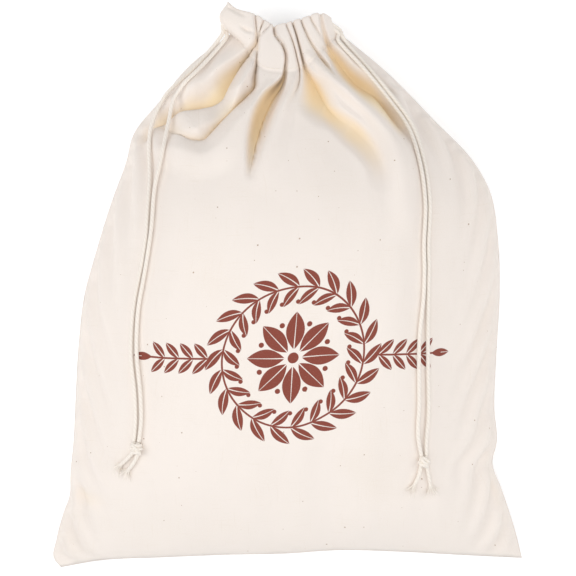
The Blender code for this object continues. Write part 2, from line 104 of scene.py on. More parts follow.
for name, (place, side_length, power) in SOFTBOXES.items():
    lamp = bpy.data.lights.new(name, "AREA")
    lamp.size = side_length
    lamp.energy = power
    softbox = bpy.data.objects.new(name, lamp)
    softbox.location = place
    softbox.rotation_euler = (BAG_MIDDLE - Vector(place)).to_track_quat("-Z", "Y").to_euler()
    scene.collection.objects.link(softbox)

bpy.ops.mesh.primitive_plane_add(size=FLOOR_SIDE, location=(0, 0, -FLOOR_DROP))
floor = bpy.context.object
floor.name = "floor"
floor_paint = bpy.data.materials.new("floor_paint")
floor_paint.use_nodes = True
sheet = floor_paint.node_tree.nodes["Principled BSDF"]
sheet.inputs["Base Color"].default_value = (*FLOOR_COLOUR, 1)
sheet.inputs["Roughness"].default_value = FLOOR_ROUGHNESS
sheet.inputs["Emission Color"].default_value = (1, 1, 1, 1)
sheet.inputs["Emission Strength"].default_value = FLOOR_GLOW
floor.data.materials.append(floor_paint)

# %% [markdown]
# ## Curves through a few points
#
# Every outline, fold and cord below is a short table of points in millimetres, in the
# bag's own plan: x from the centre line, y up from the lowest corner, z up from the
# surface it lies on. One function draws a smooth curve through such a table.

# %% Curves through a few points
MM = 0.001
HALF_LENGTH = 180.7        # puts the row frame's origin in the middle


def curve(points, knots=None):
    """A smooth line through the points, as a function of 0..1."""
    points = np.array(points, float)
    if knots is None:
        steps = np.linalg.norm(np.diff(points, axis=0), axis=1)
        knots = np.concatenate([[0], np.cumsum(steps)]) / steps.sum()
    knots = np.array(knots, float)
    slopes = np.gradient(points, knots, axis=0)

    def at(t):
        t = np.clip(np.asarray(t, float), knots[0], knots[-1])
        i = np.clip(np.searchsorted(knots, t, side="right") - 1, 0, len(knots) - 2)
        span = knots[i + 1] - knots[i]
        s = ((t - knots[i]) / span)[..., None]
        span = span[..., None]
        return ((2 * s**3 - 3 * s**2 + 1) * points[i] + (s**3 - 2 * s**2 + s) * span * slopes[i]
                + (3 * s**2 - 2 * s**3) * points[i + 1] + (s**3 - s**2) * span * slopes[i + 1])
    return at


def height_line(rows):
    """z along the centre line, as a function of y."""
    rows = np.array(rows, float)
    line = curve(rows[:, 1:], rows[:, 0])
    return lambda y: line(y)[..., 0]


def smoothstep(t):
    t = np.clip(t, 0, 1)
    return t * t * (3 - 2 * t)


def world_points(points):
    """Plan millimetres to the row frame's metres."""
    return (np.asarray(points, float) - (0, HALF_LENGTH, 0)) * MM


# %% [markdown]
# ## The bag's outline
#
# The side seams swell outwards, as on a well-filled sack, and the corners of the bottom
# stand out as two empty tips. The channel's ends aren't sewn, so they stand off the
# neck as two loose ears.

# %% The bag's outline
# Side seams from the bottom corner up to the neck: x, y, z.
LEFT_SEAM = [
    (-146.5, 0.5, 11), (-151, 6, 11), (-149, 19, 14), (-143.5, 37, 22), (-138.6, 50, 28),
    (-138, 62, 31), (-135.5, 85, 35), (-134, 112, 37), (-132, 145, 38), (-128, 178, 38),
    (-122, 200, 38), (-111, 236, 37), (-102, 261, 36), (-98, 277, 35), (-82.5, 297.5, 33),
    (-62, 322.5, 29), (-36, 343, 25)]
RIGHT_SEAM = [
    (151, 6.5, 11), (148, 18, 14), (142.5, 35, 21), (135.5, 54, 28), (129.5, 71, 33),
    (132, 82, 34), (130.3, 105, 37), (131.5, 140, 38), (133.5, 178, 38), (132.5, 211, 38),
    (127, 243, 37), (119, 258, 36), (92, 287.5, 34), (62.5, 318, 30), (34.5, 342, 25)]
BOTTOM_SEAM = [
    (-146.5, 0.5, 11), (-123, 5.5, 17), (-78, 9, 25), (-39, 11, 28), (0, 12, 29),
    (30, 14, 29), (75, 12.5, 26), (113, 9.5, 19), (151, 6.5, 11)]

# The channel's stitched lower edge and the mouth's edge: across (0 left seam, 1 right
# seam), x, y, z on the front and z on the back.
HEM_LINE = [
    (0.00, -36, 343, 25, 25), (0.07, -31, 338, 30, 18), (0.15, -24.5, 329, 37, 12),
    (0.27, -17, 319, 43, 8), (0.42, -6, 316, 45, 7), (0.60, 6, 317, 45, 7),
    (0.75, 15, 323, 42, 8), (0.88, 24, 333, 36, 12), (0.95, 30, 339, 30, 19),
    (1.00, 34.5, 342, 25, 25)]
MOUTH_EDGE = [
    (0.00, -38.5, 361, 31, 31), (0.06, -33.5, 356.5, 34, 25), (0.16, -20, 352, 36, 15),
    (0.26, -11, 346.5, 37, 9), (0.44, -3, 346.5, 38, 8), (0.61, 4, 348.5, 38, 8),
    (0.77, 11, 350.5, 38, 8), (0.88, 19, 353, 37, 13), (0.94, 23.5, 352.8, 34, 25),
    (1.00, 27.5, 350.5, 31, 31)]
LEFT_EAR = [(-36, 343, 25), (-42, 348, 27), (-43.5, 353, 29), (-38.5, 361, 31)]
RIGHT_EAR = [(34.5, 342, 25), (31.2, 343.5, 27), (29.6, 346.5, 29), (27.5, 350.5, 31)]
EAR_REACH = 0.26           # how far across the mouth an ear's own outline is felt
EAR_OPENING = 2.0          # how far each layer of an ear stands off the other


def mouth_lines(side):
    """The channel's two edges on the front (0) or on the back (1)."""
    lines = []
    for rows in (HEM_LINE, MOUTH_EDGE):
        rows = np.array(rows, float)
        z = rows[:, 3] * (1 - side) + rows[:, 4] * side
        lines.append(curve(np.stack([rows[:, 1], rows[:, 2], z], 1), rows[:, 0]))
    return lines


def coons(u, v, bottom, top, left, right):
    """A patch spanned between four edges that share their corners."""
    u, v = u[..., None], v[..., None]
    corners = ((1 - u) * (1 - v) * bottom(0.0) + u * (1 - v) * bottom(1.0)
               + (1 - u) * v * top(0.0) + u * v * top(1.0))
    return ((1 - v) * bottom(u[..., 0]) + v * top(u[..., 0])
            + (1 - u) * left(v[..., 0]) + u * right(v[..., 0]) - corners)


def seam_patch(u, v, side):
    """A panel as if its seams held it flat. v is 0..1 up the body, 1..2 up the channel."""
    hem, mouth = mouth_lines(side)
    body = coons(u, np.clip(v, 0, 1), curve(BOTTOM_SEAM), hem, curve(LEFT_SEAM),
                 curve(RIGHT_SEAM))
    rise = np.clip(v - 1, 0, 1)
    channel = (1 - rise)[..., None] * hem(u) + rise[..., None] * mouth(u)
    for ear, near in ((LEFT_EAR, u), (RIGHT_EAR, 1 - u)):
        edge = curve(ear)
        straight = (1 - rise)[..., None] * edge(0.0) + rise[..., None] * edge(1.0)
        felt = 1 - smoothstep(near / EAR_REACH)
        channel += felt[..., None] * (edge(rise) - straight)
        channel[..., 2] += felt * smoothstep(rise * 2) * EAR_OPENING * (-1 if side else 1)
    return np.where((v <= 1)[..., None], body, channel)


# %% [markdown]
# ## The filled form
#
# A filled bag isn't a pillow of even height: it is high across the middle, falls off
# quickly to the side seams and tapers to the neck. A height line along the centre and
# one rounded section from seam to seam describe it. The back does the same downwards,
# until the surface it lies on stops it.

# %% The filled form
# Heights along the centre line: y, z.
FRONT_CROWN = [
    (12, 29), (16, 37), (23, 46), (34, 56), (52, 68), (78, 79), (108, 87), (142, 92.5),
    (178, 94), (212, 91), (242, 83), (268, 72), (290, 60), (305, 52), (316, 46)]
BACK_BELLY = [
    (12, 29), (18, 20), (28, 11), (44, 3), (62, -4), (100, -9), (180, -11), (250, -9),
    (285, -5), (302, 0), (316, 6)]
FRONT_ROUND = (2.7, 0.75)  # exponents of a section from seam to seam
BACK_ROUND = (2.6, 0.85)
BELLY_EASE = 3.0           # over which the back curls up from the surface


def filled_form(u, v, side):
    """A panel's smooth form, before its folds."""
    points = seam_patch(u, v, side)
    middle = seam_patch(np.full_like(v, 0.5), v, side)
    line = height_line(BACK_BELLY if side else FRONT_CROWN)
    swell = np.where(v < 1, line(middle[..., 1]) - middle[..., 2], 0)
    power, fullness = BACK_ROUND if side else FRONT_ROUND
    section = np.clip(1 - np.abs(2 * u - 1) ** power, 0, 1) ** fullness
    points[..., 2] += swell * section
    if side:
        z = points[..., 2]
        eased = (z + BELLY_EASE) ** 2 / (4 * BELLY_EASE)
        points[..., 2] = np.where(z < -BELLY_EASE, 0, np.where(z < BELLY_EASE, eased, z))
    return points


# %% [markdown]
# ## Folds
#
# Where a wide panel is gathered into a narrow neck, the spare cloth goes into folds
# that run down from the mouth, join up and die out on the belly. Each fold here is a
# route with a width to either side and a height. A crease of 1 makes its bottom sharp,
# and a lean pulls its shoulder over it, which a plain height can't do. A cloth
# simulation could find folds of its own. Routes were chosen instead, because they put
# each fold in its place, at the cost that the cloth stretches where they are steep.

# %% Folds
# For each fold: its crease, its lean on the west and on the east, and the route's x, y,
# west width, east width and height, negative in a valley.
FOLDS = {
    # In the channel and just under it, from the left ear to the right one.
    "ear valley": (-0.3, 0.1, 0.7, [
        (-20.5, 354, 1.8, 1.3, -3), (-19.5, 344, 2.2, 1.3, -4), (-19.6, 336, 3.5, 1.6, -6),
        (-22, 330, 5.5, 2.2, -9), (-26.8, 323, 8, 2.8, -11.5), (-30.8, 316.5, 12, 3.2, -12.5),
        (-35, 308, 18, 3.8, -13), (-38.8, 299.5, 21, 4.5, -12.5), (-47, 292, 21, 6, -12),
        (-60, 287.5, 19, 8, -10.5), (-76, 282.5, 14, 9, -8), (-90, 274, 10, 8, -3),
        (-97, 266, 8, 7, 0)]),
    "pleat's west edge": (-0.2, 0.2, 0.55, [
        (-14, 353, 1.5, 1.1, -3), (-17.3, 344, 1.6, 1.1, -3.5), (-18.7, 333, 1.8, 1.2, -4.5),
        (-19.6, 322, 2.6, 1.4, -7), (-20.2, 313, 4.5, 1.8, -10), (-20.6, 306, 7, 2.4, -12),
        (-25.5, 299.5, 9.5, 3.2, -12), (-33.5, 291.5, 10.5, 3.8, -11.5),
        (-40.5, 284, 10.5, 4, -10.5), (-46.5, 277, 10, 4, -9.5), (-52, 271.5, 9.5, 4, -8.5),
        (-59, 271, 9, 4, -6.5), (-69, 275, 9, 4.5, -4.5), (-80, 277, 9, 5, -3),
        (-90, 272, 8, 5, 0)]),
    "wedge valley": (-2.0, 0.0, 0.5, [
        (-8.6, 351, 1.2, 1.3, -3), (-8, 341, 1.3, 1.5, -4), (-3.4, 334, 1.3, 1.6, -4.5),
        (-1.2, 327.5, 1.4, 1.7, -5), (-1.6, 319, 1.5, 1.8, -6), (-1.9, 313, 2.6, 1.8, -10),
        (-4.2, 306, 6.0, 2.8, -14), (-9, 297.5, 9.4, 4.0, -15), (-13.2, 288, 10.2, 4.4, -14.5),
        (-16.4, 277.5, 9.4, 4.4, -12.5), (-19.2, 267, 7.4, 3.8, -9.5),
        (-21.4, 257, 5, 2.8, -5.5), (-23, 246, 3.0, 2.2, 0)]),
    "narrow slit": (1.0, 0.1, 0.1, [
        (-3.4, 352.5, 1.2, 1.4, -3.5), (0.5, 343, 1.4, 1.4, -3.5), (3.6, 334, 1.6, 1.5, -4),
        (5.8, 325, 2.0, 1.6, -4.5), (7.4, 317, 2.6, 1.8, -5), (6.8, 309, 3.5, 2.6, -4),
        (3.2, 300, 5, 5, -2.5), (-1, 291, 5, 5, 0)]),
    "east valley": (0.0, 0.0, 0.15, [
        (1.2, 353.5, 1.2, 1.4, -3.5), (4.6, 343, 1.2, 1.5, -3.5), (7.4, 332, 1.4, 1.6, -4.5),
        (9.8, 322, 1.8, 2.4, -6), (13.6, 314, 7, 4.2, -9.5), (18.0, 306, 14, 7.5, -12.5),
        (21.6, 298, 18, 9, -12.5), (25.6, 291.5, 16, 8.5, -9), (31, 286, 12, 7, -4),
        (37, 281, 8, 6, 0)]),
    "long hollow": (-0.6, 0.0, 0.0, [
        (22, 293, 6, 6, 0), (30.5, 287, 11, 7, -5), (40.5, 278.5, 12, 7.5, -8.5),
        (49.5, 267.5, 11, 7, -6.5), (54.8, 256, 9, 6.5, -3.8), (57.5, 240, 8, 7, 0)]),
    "east slit": (0.9, 0.0, 0.0, [
        (6.6, 355, 1.3, 1.5, -3.5), (10, 345, 1.5, 1.7, -3.5), (14, 336, 1.7, 1.9, -4),
        (18.4, 329, 2.0, 2.0, -5), (22.4, 323.5, 2.4, 2.2, -6.5), (26, 318.5, 2.8, 2.6, -5),
        (30, 313, 3.2, 3.0, -2.5), (36, 306, 4, 4, 0)]),
    "far slit": (0.9, 0.0, 0.0, [
        (12.2, 356, 1.5, 1.4, -3), (15.6, 348.5, 1.6, 1.6, -3), (20, 341, 1.8, 1.6, -2),
        (24, 335, 2, 2, 0)]),
    "outer hollow": (-0.6, 0.1, 0.1, [
        (20.5, 353, 1.8, 1.8, -2.5), (22.5, 343, 2.2, 2.2, -4), (25, 335, 2.6, 3.2, -7),
        (29.6, 326.5, 5.0, 6.5, -11), (36.6, 316.5, 7.5, 8, -13), (47.5, 305.5, 9.5, 9, -13),
        (58.5, 294, 10, 9, -11), (67.5, 283, 9, 8, -7), (77, 271, 8, 7, 0)]),
    "far shoulder crease": (0.8, 0.1, 0.2, [
        (31, 338, 2, 2, -2), (43, 327, 3.5, 3, -5), (56, 313, 4, 3.5, -4),
        (73, 297, 4, 4, 0)]),
    "dark pocket": (0.6, 0.0, 0.2, [
        (21.5, 334, 1.4, 1.4, 0), (23.6, 331, 1.7, 1.6, -2.5), (26.4, 327.5, 1.8, 1.7, -3),
        (28.5, 324, 1.5, 1.5, 0)]),
    # Ridges, which the valleys leave standing.
    "inner west ridge": (0.2, 0.0, 0.0, [
        (-19, 326, 2.5, 2.2, 1), (-24.2, 318, 3.5, 3, 3), (-28.8, 309, 4.5, 3.5, 4.5),
        (-33.2, 300.5, 4.5, 4, 4.5), (-39, 293, 5, 4.5, 3.5), (-47, 286.5, 6, 5, 2),
        (-55, 281.5, 7, 6, 0)]),
    "main bulge's edge": (0.2, 0.0, 0.0, [
        (-11, 312, 3, 6, 0), (-13.5, 304, 4.5, 6, 3), (-18.5, 297, 5, 9, 4.5),
        (-27, 288, 5, 12, 5), (-36, 277, 5.5, 15, 5), (-44, 267, 5.5, 17, 4.5),
        (-53, 262.5, 5.5, 18, 3.8), (-66, 266, 5.5, 17, 3.4), (-78, 267.5, 6, 16, 2.5),
        (-90, 263, 6, 12, 0)]),
    "wedge flank": (0.2, 0.0, 0.0, [
        (4.0, 312, 3, 3, 1.5), (1.5, 303, 3.5, 6, 4), (-3.5, 293, 4.5, 10, 5),
        (-9, 276, 5.5, 12, 4), (-14.5, 256, 6.5, 12, 2.5), (-18, 238, 8, 9, 0)]),
    "shoulder ridge": (0.0, 0.0, 0.0, [
        (13, 327, 3, 4, 1.5), (26.5, 313.5, 6, 6, 5), (38, 304, 8, 7, 8), (52, 293, 10, 8, 10),
        (63, 277, 12, 10, 10), (69, 259, 13, 13, 8), (71, 236, 14, 14, 4),
        (71, 212, 14, 14, 0)]),
    "west shoulder": (0.0, 0.0, 0.0, [
        (-33, 335, 4, 5, 0), (-44, 322, 8, 9, 3), (-60, 309, 9, 10, 3.5),
        (-78, 296, 8, 10, 2), (-92, 282, 6, 8, 0)]),
    # Low folds elsewhere.
    "west corner fold": (0.3, 0.0, 0.0, [
        (-139, 56, 9, 9, -3), (-128, 50, 10, 10, -4), (-110, 43, 12, 12, 0)]),
    "east corner fold": (0.3, 0.0, 0.0, [
        (127, 74, 8, 8, -3), (131, 60, 8, 8, -6), (136, 44, 8, 7, -4),
        (142, 26, 6, 6, -2), (147, 14, 4, 4, 0)]),
    "pleat's turned corner": (0.9, 0.0, 0.0, [
        (-17.4, 340, 1.2, 1.2, -1.6), (-14, 344, 1.3, 1.3, -2), (-9.6, 348.5, 1.2, 1.2, -1.4)]),
    "ear crease": (0.7, 0.0, 0.0, [
        (-31, 347, 2, 2, 0), (-27, 344, 2.4, 2.4, -2.4), (-22, 342, 2, 2, -1)]),
    "ear's rim dent": (0.4, 0.0, 0.0, [
        (-37, 358, 2, 2, -1.5), (-31, 355, 3, 3, -2), (-25, 351.5, 2.5, 2.5, 0)]),
}
# Soft swells of the filled cloth: x, y, radius across, radius along, height.
SWELLS = [
    (-62, 215, 48, 40, 4), (40, 185, 60, 45, 3), (-20, 120, 70, 45, 2.5),
    (88, 90, 45, 50, 3), (-92, 75, 40, 35, 3), (12, 50, 40, 28, -2.5),
    (-45, 165, 26, 50, -3), (98, 150, 26, 55, -3), (60, 40, 30, 22, 2)]
ROUTE_STEPS = 8            # pieces of a route for each row of its table
LEAN_HIDES = 0.9           # the share of a fully leaning shoulder that hides its glow
LEAST_WIDTH = 0.1          # keeps a fold's width and distances off zero
LEAN_PEAK = 6.75           # makes the shoulder's curve 1 at its highest
MOST_LEAN = 1.2            # the height that a lean counts, as a share of the fold's width


def fold_shift(x, y, crease, west_lean, east_lean, rows):
    """How far one fold moves the plan points x, y, and how much of its height counts
    for the glow inside it, which a leaning shoulder hides."""
    line = curve(rows)(np.linspace(0, 1, ROUTE_STEPS * len(rows)))
    start, run = line[:-1], np.diff(line, axis=0)
    margin = line[:, 2:4].max()
    near = ((x > line[:, 0].min() - margin) & (x < line[:, 0].max() + margin)
            & (y > line[:, 1].min() - margin) & (y < line[:, 1].max() + margin))
    shift = np.zeros((len(x), 3))
    glow = np.zeros(len(x))
    way = run[:, :2]
    away = np.stack([x[near], y[near]], -1)[:, None, :] - start[:, :2]
    along = np.clip((away * way).sum(-1) / (way**2).sum(-1), 0, 1)
    offset = away - along[..., None] * way
    distance = np.hypot(offset[..., 0], offset[..., 1])
    nearest = distance.argmin(-1)
    every = np.arange(len(nearest))
    along, offset, distance = (part[every, nearest] for part in (along, offset, distance))
    eastward = way[nearest, 0] * offset[:, 1] - way[nearest, 1] * offset[:, 0] > 0
    here = start[nearest] + along[:, None] * run[nearest]
    width = np.maximum(np.where(eastward, here[:, 3], here[:, 2]), LEAST_WIDTH)
    reach = np.clip(distance / width, 0, 1)
    height = here[:, 4]
    shift[near, 2] = height * (1 - reach ** (2 - crease)) ** 2
    shoulder = LEAN_PEAK * reach * (1 - reach) ** 2
    shoulder *= np.minimum(np.abs(height), MOST_LEAN * width)
    lean = np.where(eastward, east_lean, west_lean)
    pull = lean * shoulder / np.maximum(distance, LEAST_WIDTH)
    shift[near, :2] = -offset * pull[:, None]
    shown = np.clip(reach / (1 - LEAN_HIDES * lean), 0, 1)
    glow[near] = height * (1 - shown ** (2 - crease)) ** 2
    return shift, glow


# %% [markdown]
# ## The front panel's relief
#
# All the folds are added up and faded out at the sewn edges. The channel is two layers
# with a cord between them, so it stands above the cloth below its stitching, is a
# little fuller in its middle, and is drawn in along the stitches.

# %% The front panel's relief
HEM_STEP = 0.6             # how far the channel stands above the cloth below it
HEM_RISE = 0.03            # how far up the channel its step reaches full height
CHANNEL_PUFF = 0.8         # how much fuller the channel is over its cord
EAR_STEP = 2.0             # how much further the left ear stands off the shoulder
RIM_SCALLOP = 0.35         # how far a valley draws the mouth's edge down
RIM_START, RIM_SPAN = 1.4, 0.6   # the v where this starts, and over how much it grows
EDGE_FADE = (0.05, 0.04)   # how far in from the side and bottom seams the folds fade
CHANNEL_FADE = 3           # how much quicker they fade in the channel
HOLLOW = (0.3, 12.5)       # depths of a fold where its golden glow starts and is full


def front_relief(u, v, points):
    """How far the front's folds move its points, faded out at the seams, and how deep
    in a fold each of them is, 0 to 1."""
    x, y = points[:, 0], points[:, 1]
    shift = np.zeros_like(points)
    glow = np.zeros(len(points))
    for fold in FOLDS.values():
        moved, shown = fold_shift(x, y, *fold)
        shift += moved
        glow += np.minimum(shown, 0)
    start, full = HOLLOW
    depth = smoothstep((-glow - start) / (full - start))
    for middle_x, middle_y, across, along, height in SWELLS:
        reach = ((x - middle_x) / across) ** 2 + ((y - middle_y) / along) ** 2
        shift[:, 2] += height * np.exp(-reach)
    step = HEM_STEP + EAR_STEP * (1 - smoothstep(u / EAR_REACH))
    puff = CHANNEL_PUFF * np.sin(math.pi * np.clip(v - 1, 0, 1))
    shift[:, 2] += step * smoothstep((v - 1) / HEM_RISE) + puff
    rim = smoothstep((v - RIM_START) / RIM_SPAN)
    shift[:, 1] += RIM_SCALLOP * np.minimum(shift[:, 2], 0) * rim
    from_sides, from_bottom = EDGE_FADE
    side_fade = np.minimum(u, 1 - u) / from_sides * np.where(v > 1, CHANNEL_FADE, 1)
    fade = smoothstep(np.minimum(side_fade, v / from_bottom))
    return shift * fade[:, None], depth * fade


# The back's pleats: how many, their half height, how much and how often their spacing
# drifts, the v where they start and are full, and how far in from a seam they fade.
BACK_PLEATS = 8
PLEAT_HALF_HEIGHT = 2.6
PLEAT_DRIFT, DRIFT_TURNS = 0.35, 7
PLEATS_START, PLEATS_FULL = 0.68, 1.0
PLEAT_EDGE_FADE = 0.15


def back_relief(u, v, points):
    """The back's pleats, which grow from the neck up to the mouth."""
    drift = PLEAT_DRIFT * np.sin(DRIFT_TURNS * u)
    wave = PLEAT_HALF_HEIGHT * np.sin(2 * math.pi * BACK_PLEATS * u + drift)
    edge = smoothstep(np.minimum(u, 1 - u) / PLEAT_EDGE_FADE)
    depth = smoothstep((v - PLEATS_START) / (PLEATS_FULL - PLEATS_START))
    shift = np.zeros_like(points)
    shift[:, 2] = np.maximum(wave * edge * depth, -points[:, 2])
    return shift, np.zeros(len(points))


# %% [markdown]
# ## Creases all over
#
# A filled bag is never quite smooth. Long faint wrinkles run up it, and beside the side
# seams the stitching draws the cloth into small puckers and longer tucks. They stand
# out along the cloth's own normal, so the steep sides get them too.

# %% Creases all over
WRINKLES = [(20, 85, 1.5), (34, 40, 1.1), (10, 24, 0.35)]   # width, length, height
WRINKLES_END = (0.86, 0.97)   # v over which they give way to the gathers
WRINKLES_APART = 7.3          # how far apart in the noise each kind of wrinkle is taken
SIDES_QUIET, FOOT_QUIET = 6, 10   # how far from a seam the wrinkles reach full height
# For each wave at the side seams: its length up the seam, its height, and how far from
# the seam it starts, is full and ends.
SEAM_WAVES = [(11.0, 0.7, (1.0, 5.0, 14.0)), (31.0, 2.3, (2.0, 12.0, 46.0))]
WAVE_SWAY, WAVE_SWAY_LENGTH = 1.7, 1.9   # how unevenly the waves follow each other
WAVE_SIDES_APART = 2.4        # radians between the waves of the two seams
WAVE_SLANT = 0.012
WAVE_FOOT = 12                # how far up from the bottom seam they reach full height


def unevenness(across, up, v, seed):
    """How far each point of the cloth stands out, from its place on it in millimetres."""
    total = np.zeros(across.size)
    for number, (width, length, height) in enumerate(WRINKLES):
        total += height * np.array([
            noise.noise((a / width, b / length, WRINKLES_APART * number + seed))
            for a, b in zip(across.ravel(), up.ravel())])
    total = total.reshape(across.shape)
    from_seam = np.minimum(across - across[:, :1], across[:, -1:] - across)
    total *= smoothstep(from_seam / SIDES_QUIET) * smoothstep(up / FOOT_QUIET)
    for length, height, (start, full, end) in SEAM_WAVES:
        turns = up * 2 * math.pi / length
        turns = turns + WAVE_SWAY * np.sin(up / (WAVE_SWAY_LENGTH * length))
        turns += WAVE_SIDES_APART * (across > 0) + WAVE_SLANT * from_seam * length
        beside = smoothstep((from_seam - start) / (full - start))
        beside *= 1 - smoothstep((from_seam - full) / (end - full))
        total += height * np.sin(turns) * beside * smoothstep(up / WAVE_FOOT)
    return total * (1 - smoothstep((v - WRINKLES_END[0]) / np.ptp(WRINKLES_END)))


# %% [markdown]
# ## The cloth
#
# Each panel is one sheet: up the body to the stitching, up the outside of the channel,
# over the mouth's edge and down the channel's inside, just as the real hem is turned.
# A thin Solidify gives it linen's thickness. Two things are kept for the material:
# "weave" runs with the threads, and "hollow" says how deep in a fold a point is.

# %% The cloth
COLUMNS = 176
BODY_ROWS = [(0.0, 0.7, 92), (0.7, 1.0, 72)]     # from v, to v, rows
CHANNEL_ROWS = 30
ROLL_ROWS = 3              # over the mouth's edge
INSIDE_ROWS = 8            # down the channel's inside
CHANNEL_DEPTH = 3.0        # from the channel's outer layer to its inner one
COLUMN_SPREAD = 0.12       # how much the columns draw together towards the seams
LINEN = 0.5                # the cloth's thickness
SEAM_FADE = 5.0            # how far from a seam the cloth reaches its full thickness
SEAM_THIN = 0.1            # the share of its thickness that it has at the seam
INSIDE_END = 1.06          # the v at which the channel's inside ends
WALL_STEPS = 10            # steps in which the thickness grows
BACK_SEED = 50.0           # gives the back wrinkles of its own


def panel_rows():
    """v for each row, and how far down the channel's inside it is, 0..1."""
    body = [np.linspace(low, high, count, endpoint=False) for low, high, count in BODY_ROWS]
    outer = np.concatenate(body + [np.linspace(1, 2, CHANNEL_ROWS)])
    inner = np.linspace(2, INSIDE_END, INSIDE_ROWS)
    v = np.concatenate([outer, np.full(ROLL_ROWS, 2.0), inner])
    inside = np.concatenate([np.zeros(len(outer)),
                             np.linspace(0, 1, ROLL_ROWS + 2)[1:-1], np.ones(len(inner))])
    return v, inside


def panel_points(side):
    """The panel's points by row and column, its cloth coordinates in metres and how
    deep in a fold each point is."""
    t = np.linspace(-1, 1, COLUMNS + 1)
    columns = (t * (1 + COLUMN_SPREAD - COLUMN_SPREAD * t**2) + 1) / 2
    rows, inside = panel_rows()
    u, v = np.meshgrid(columns, rows)
    smooth = filled_form(u, v, side)
    relief = back_relief if side else front_relief
    across = np.linalg.norm(np.diff(smooth, axis=1), axis=-1)
    across = np.concatenate([np.zeros((len(rows), 1)), np.cumsum(across, axis=1)], 1)
    across -= across[:, COLUMNS // 2, None]
    up = np.linalg.norm(np.diff(smooth, axis=0), axis=-1)
    up = np.concatenate([np.zeros((1, COLUMNS + 1)), np.cumsum(up, axis=0)])

    shift, hollow = relief(u.ravel(), v.ravel(), smooth.reshape(-1, 3))
    outward = np.cross(np.gradient(smooth, axis=1), np.gradient(smooth, axis=0))
    length = np.maximum(np.linalg.norm(outward, axis=-1), 1e-6)
    outward *= (-1 if side else 1) / length[..., None]
    bumps = unevenness(across, up, v, BACK_SEED * side)
    points = smooth + shift.reshape(smooth.shape) + outward * bumps[..., None]
    points[..., 2] = np.maximum(points[..., 2], 0)

    # The turned edge: up over the rim and back down, inside the outer layer.
    inward = 1 if side else -1
    turn = inside[:, None] * math.pi
    points[..., 2] += inward * CHANNEL_DEPTH / 2 * (1 - np.cos(turn))
    rim = np.where((inside > 0) & (inside < 1), np.sin(inside * math.pi), 0)[:, None]
    points[..., 1] += CHANNEL_DEPTH / 2 * rim
    return points, np.stack([across, up], -1) * MM, hollow


def make_panel(name, side):
    """The panel's object, its points by row and column, and its cloth coordinates."""
    points, weave, hollow = panel_points(side)
    rows, columns = points.shape[:2]
    number = np.arange(rows * columns).reshape(rows, columns)
    corners = np.stack([number[:-1, :-1], number[:-1, 1:], number[1:, 1:], number[1:, :-1]],
                       -1).reshape(-1, 4)
    if side:
        corners = corners[:, ::-1]
    mesh = bpy.data.meshes.new(name)
    mesh.from_pydata(world_points(points.reshape(-1, 3)).tolist(), [], corners.tolist())
    threads = mesh.uv_layers.new(name="weave")
    threads.data.foreach_set("uv", weave.reshape(-1, 2)[corners.ravel()].ravel())
    mesh.attributes.new("hollow", "FLOAT", "POINT").data.foreach_set("value", hollow)
    panel = bpy.data.objects.new(name, mesh)
    scene.collection.objects.link(panel)

    from_seam = np.linalg.norm(points - points[:, :1], axis=-1)
    from_seam = np.minimum(from_seam, np.linalg.norm(points - points[:, -1:], axis=-1))
    from_seam = np.minimum(from_seam, np.linalg.norm(points - points[:1], axis=-1))
    wall = smoothstep(from_seam / SEAM_FADE).ravel()
    group = panel.vertex_groups.new(name="wall")
    for step in range(WALL_STEPS + 1):
        members = np.flatnonzero(np.round(wall * WALL_STEPS) == step).tolist()
        group.add(members, step / WALL_STEPS, "REPLACE")
    thick = panel.modifiers.new("thickness", "SOLIDIFY")
    thick.thickness = LINEN * MM
    thick.offset = -1
    thick.vertex_group = "wall"
    thick.thickness_vertex_group = SEAM_THIN
    mesh.shade_smooth()
    return panel, points, weave


front, front_points, front_weave = make_panel("linen_front", 0)
back, back_points, _ = make_panel("linen_back", 1)
print("cloth faces:", len(front.data.polygons), len(back.data.polygons))


# %% [markdown]
# ## Where light reaches
#
# Hardly any light gets into the narrow slits between the pleats. A handful of rays from
# each point measures how open it is to the light, and the material darkens the closed
# ones.

# %% Where light reaches
LIGHT_RAYS = 24
LIGHT_REACH = 0.05         # metres within which a wall takes light away
RAY_START = 0.0012
OPEN_BLURS = 2             # rounds of evening out between neighbouring points


def surface_tree(*pieces):
    bm = bmesh.new()
    for piece in pieces:
        bm.from_mesh(piece.data)
    tree = BVHTree.FromBMesh(bm)
    bm.free()
    return tree


def openness_of(piece, walls):
    """For each point, the share of rays that leave it without meeting a wall."""
    up = Vector((0, 0, 1))
    golden = math.pi * (3 - math.sqrt(5))
    directions = []
    for k in range(LIGHT_RAYS):
        lift = math.sqrt((k + 0.5) / LIGHT_RAYS)
        directions.append(Vector((math.cos(golden * k) * math.sqrt(1 - lift**2),
                                  math.sin(golden * k) * math.sqrt(1 - lift**2), lift)))
    values = []
    for vertex in piece.data.vertices:
        turn = up.rotation_difference(vertex.normal)
        start = vertex.co + vertex.normal * RAY_START
        free = sum(walls.ray_cast(start, turn @ way, LIGHT_REACH)[0] is None
                   for way in directions)
        values.append(free / LIGHT_RAYS)
    return values


def blurred(values, shape):
    """Values on a grid of rows and columns, evened out with their neighbours."""
    grid = np.array(values).reshape(shape)
    for _ in range(OPEN_BLURS):
        for axis in (0, 1):
            wide = np.pad(grid, [(1, 1) if a == axis else (0, 0) for a in (0, 1)], "edge")
            low = wide.take(range(0, grid.shape[axis]), axis)
            high = wide.take(range(2, grid.shape[axis] + 2), axis)
            grid = (low + 2 * grid + high) / 4
    return grid.ravel()


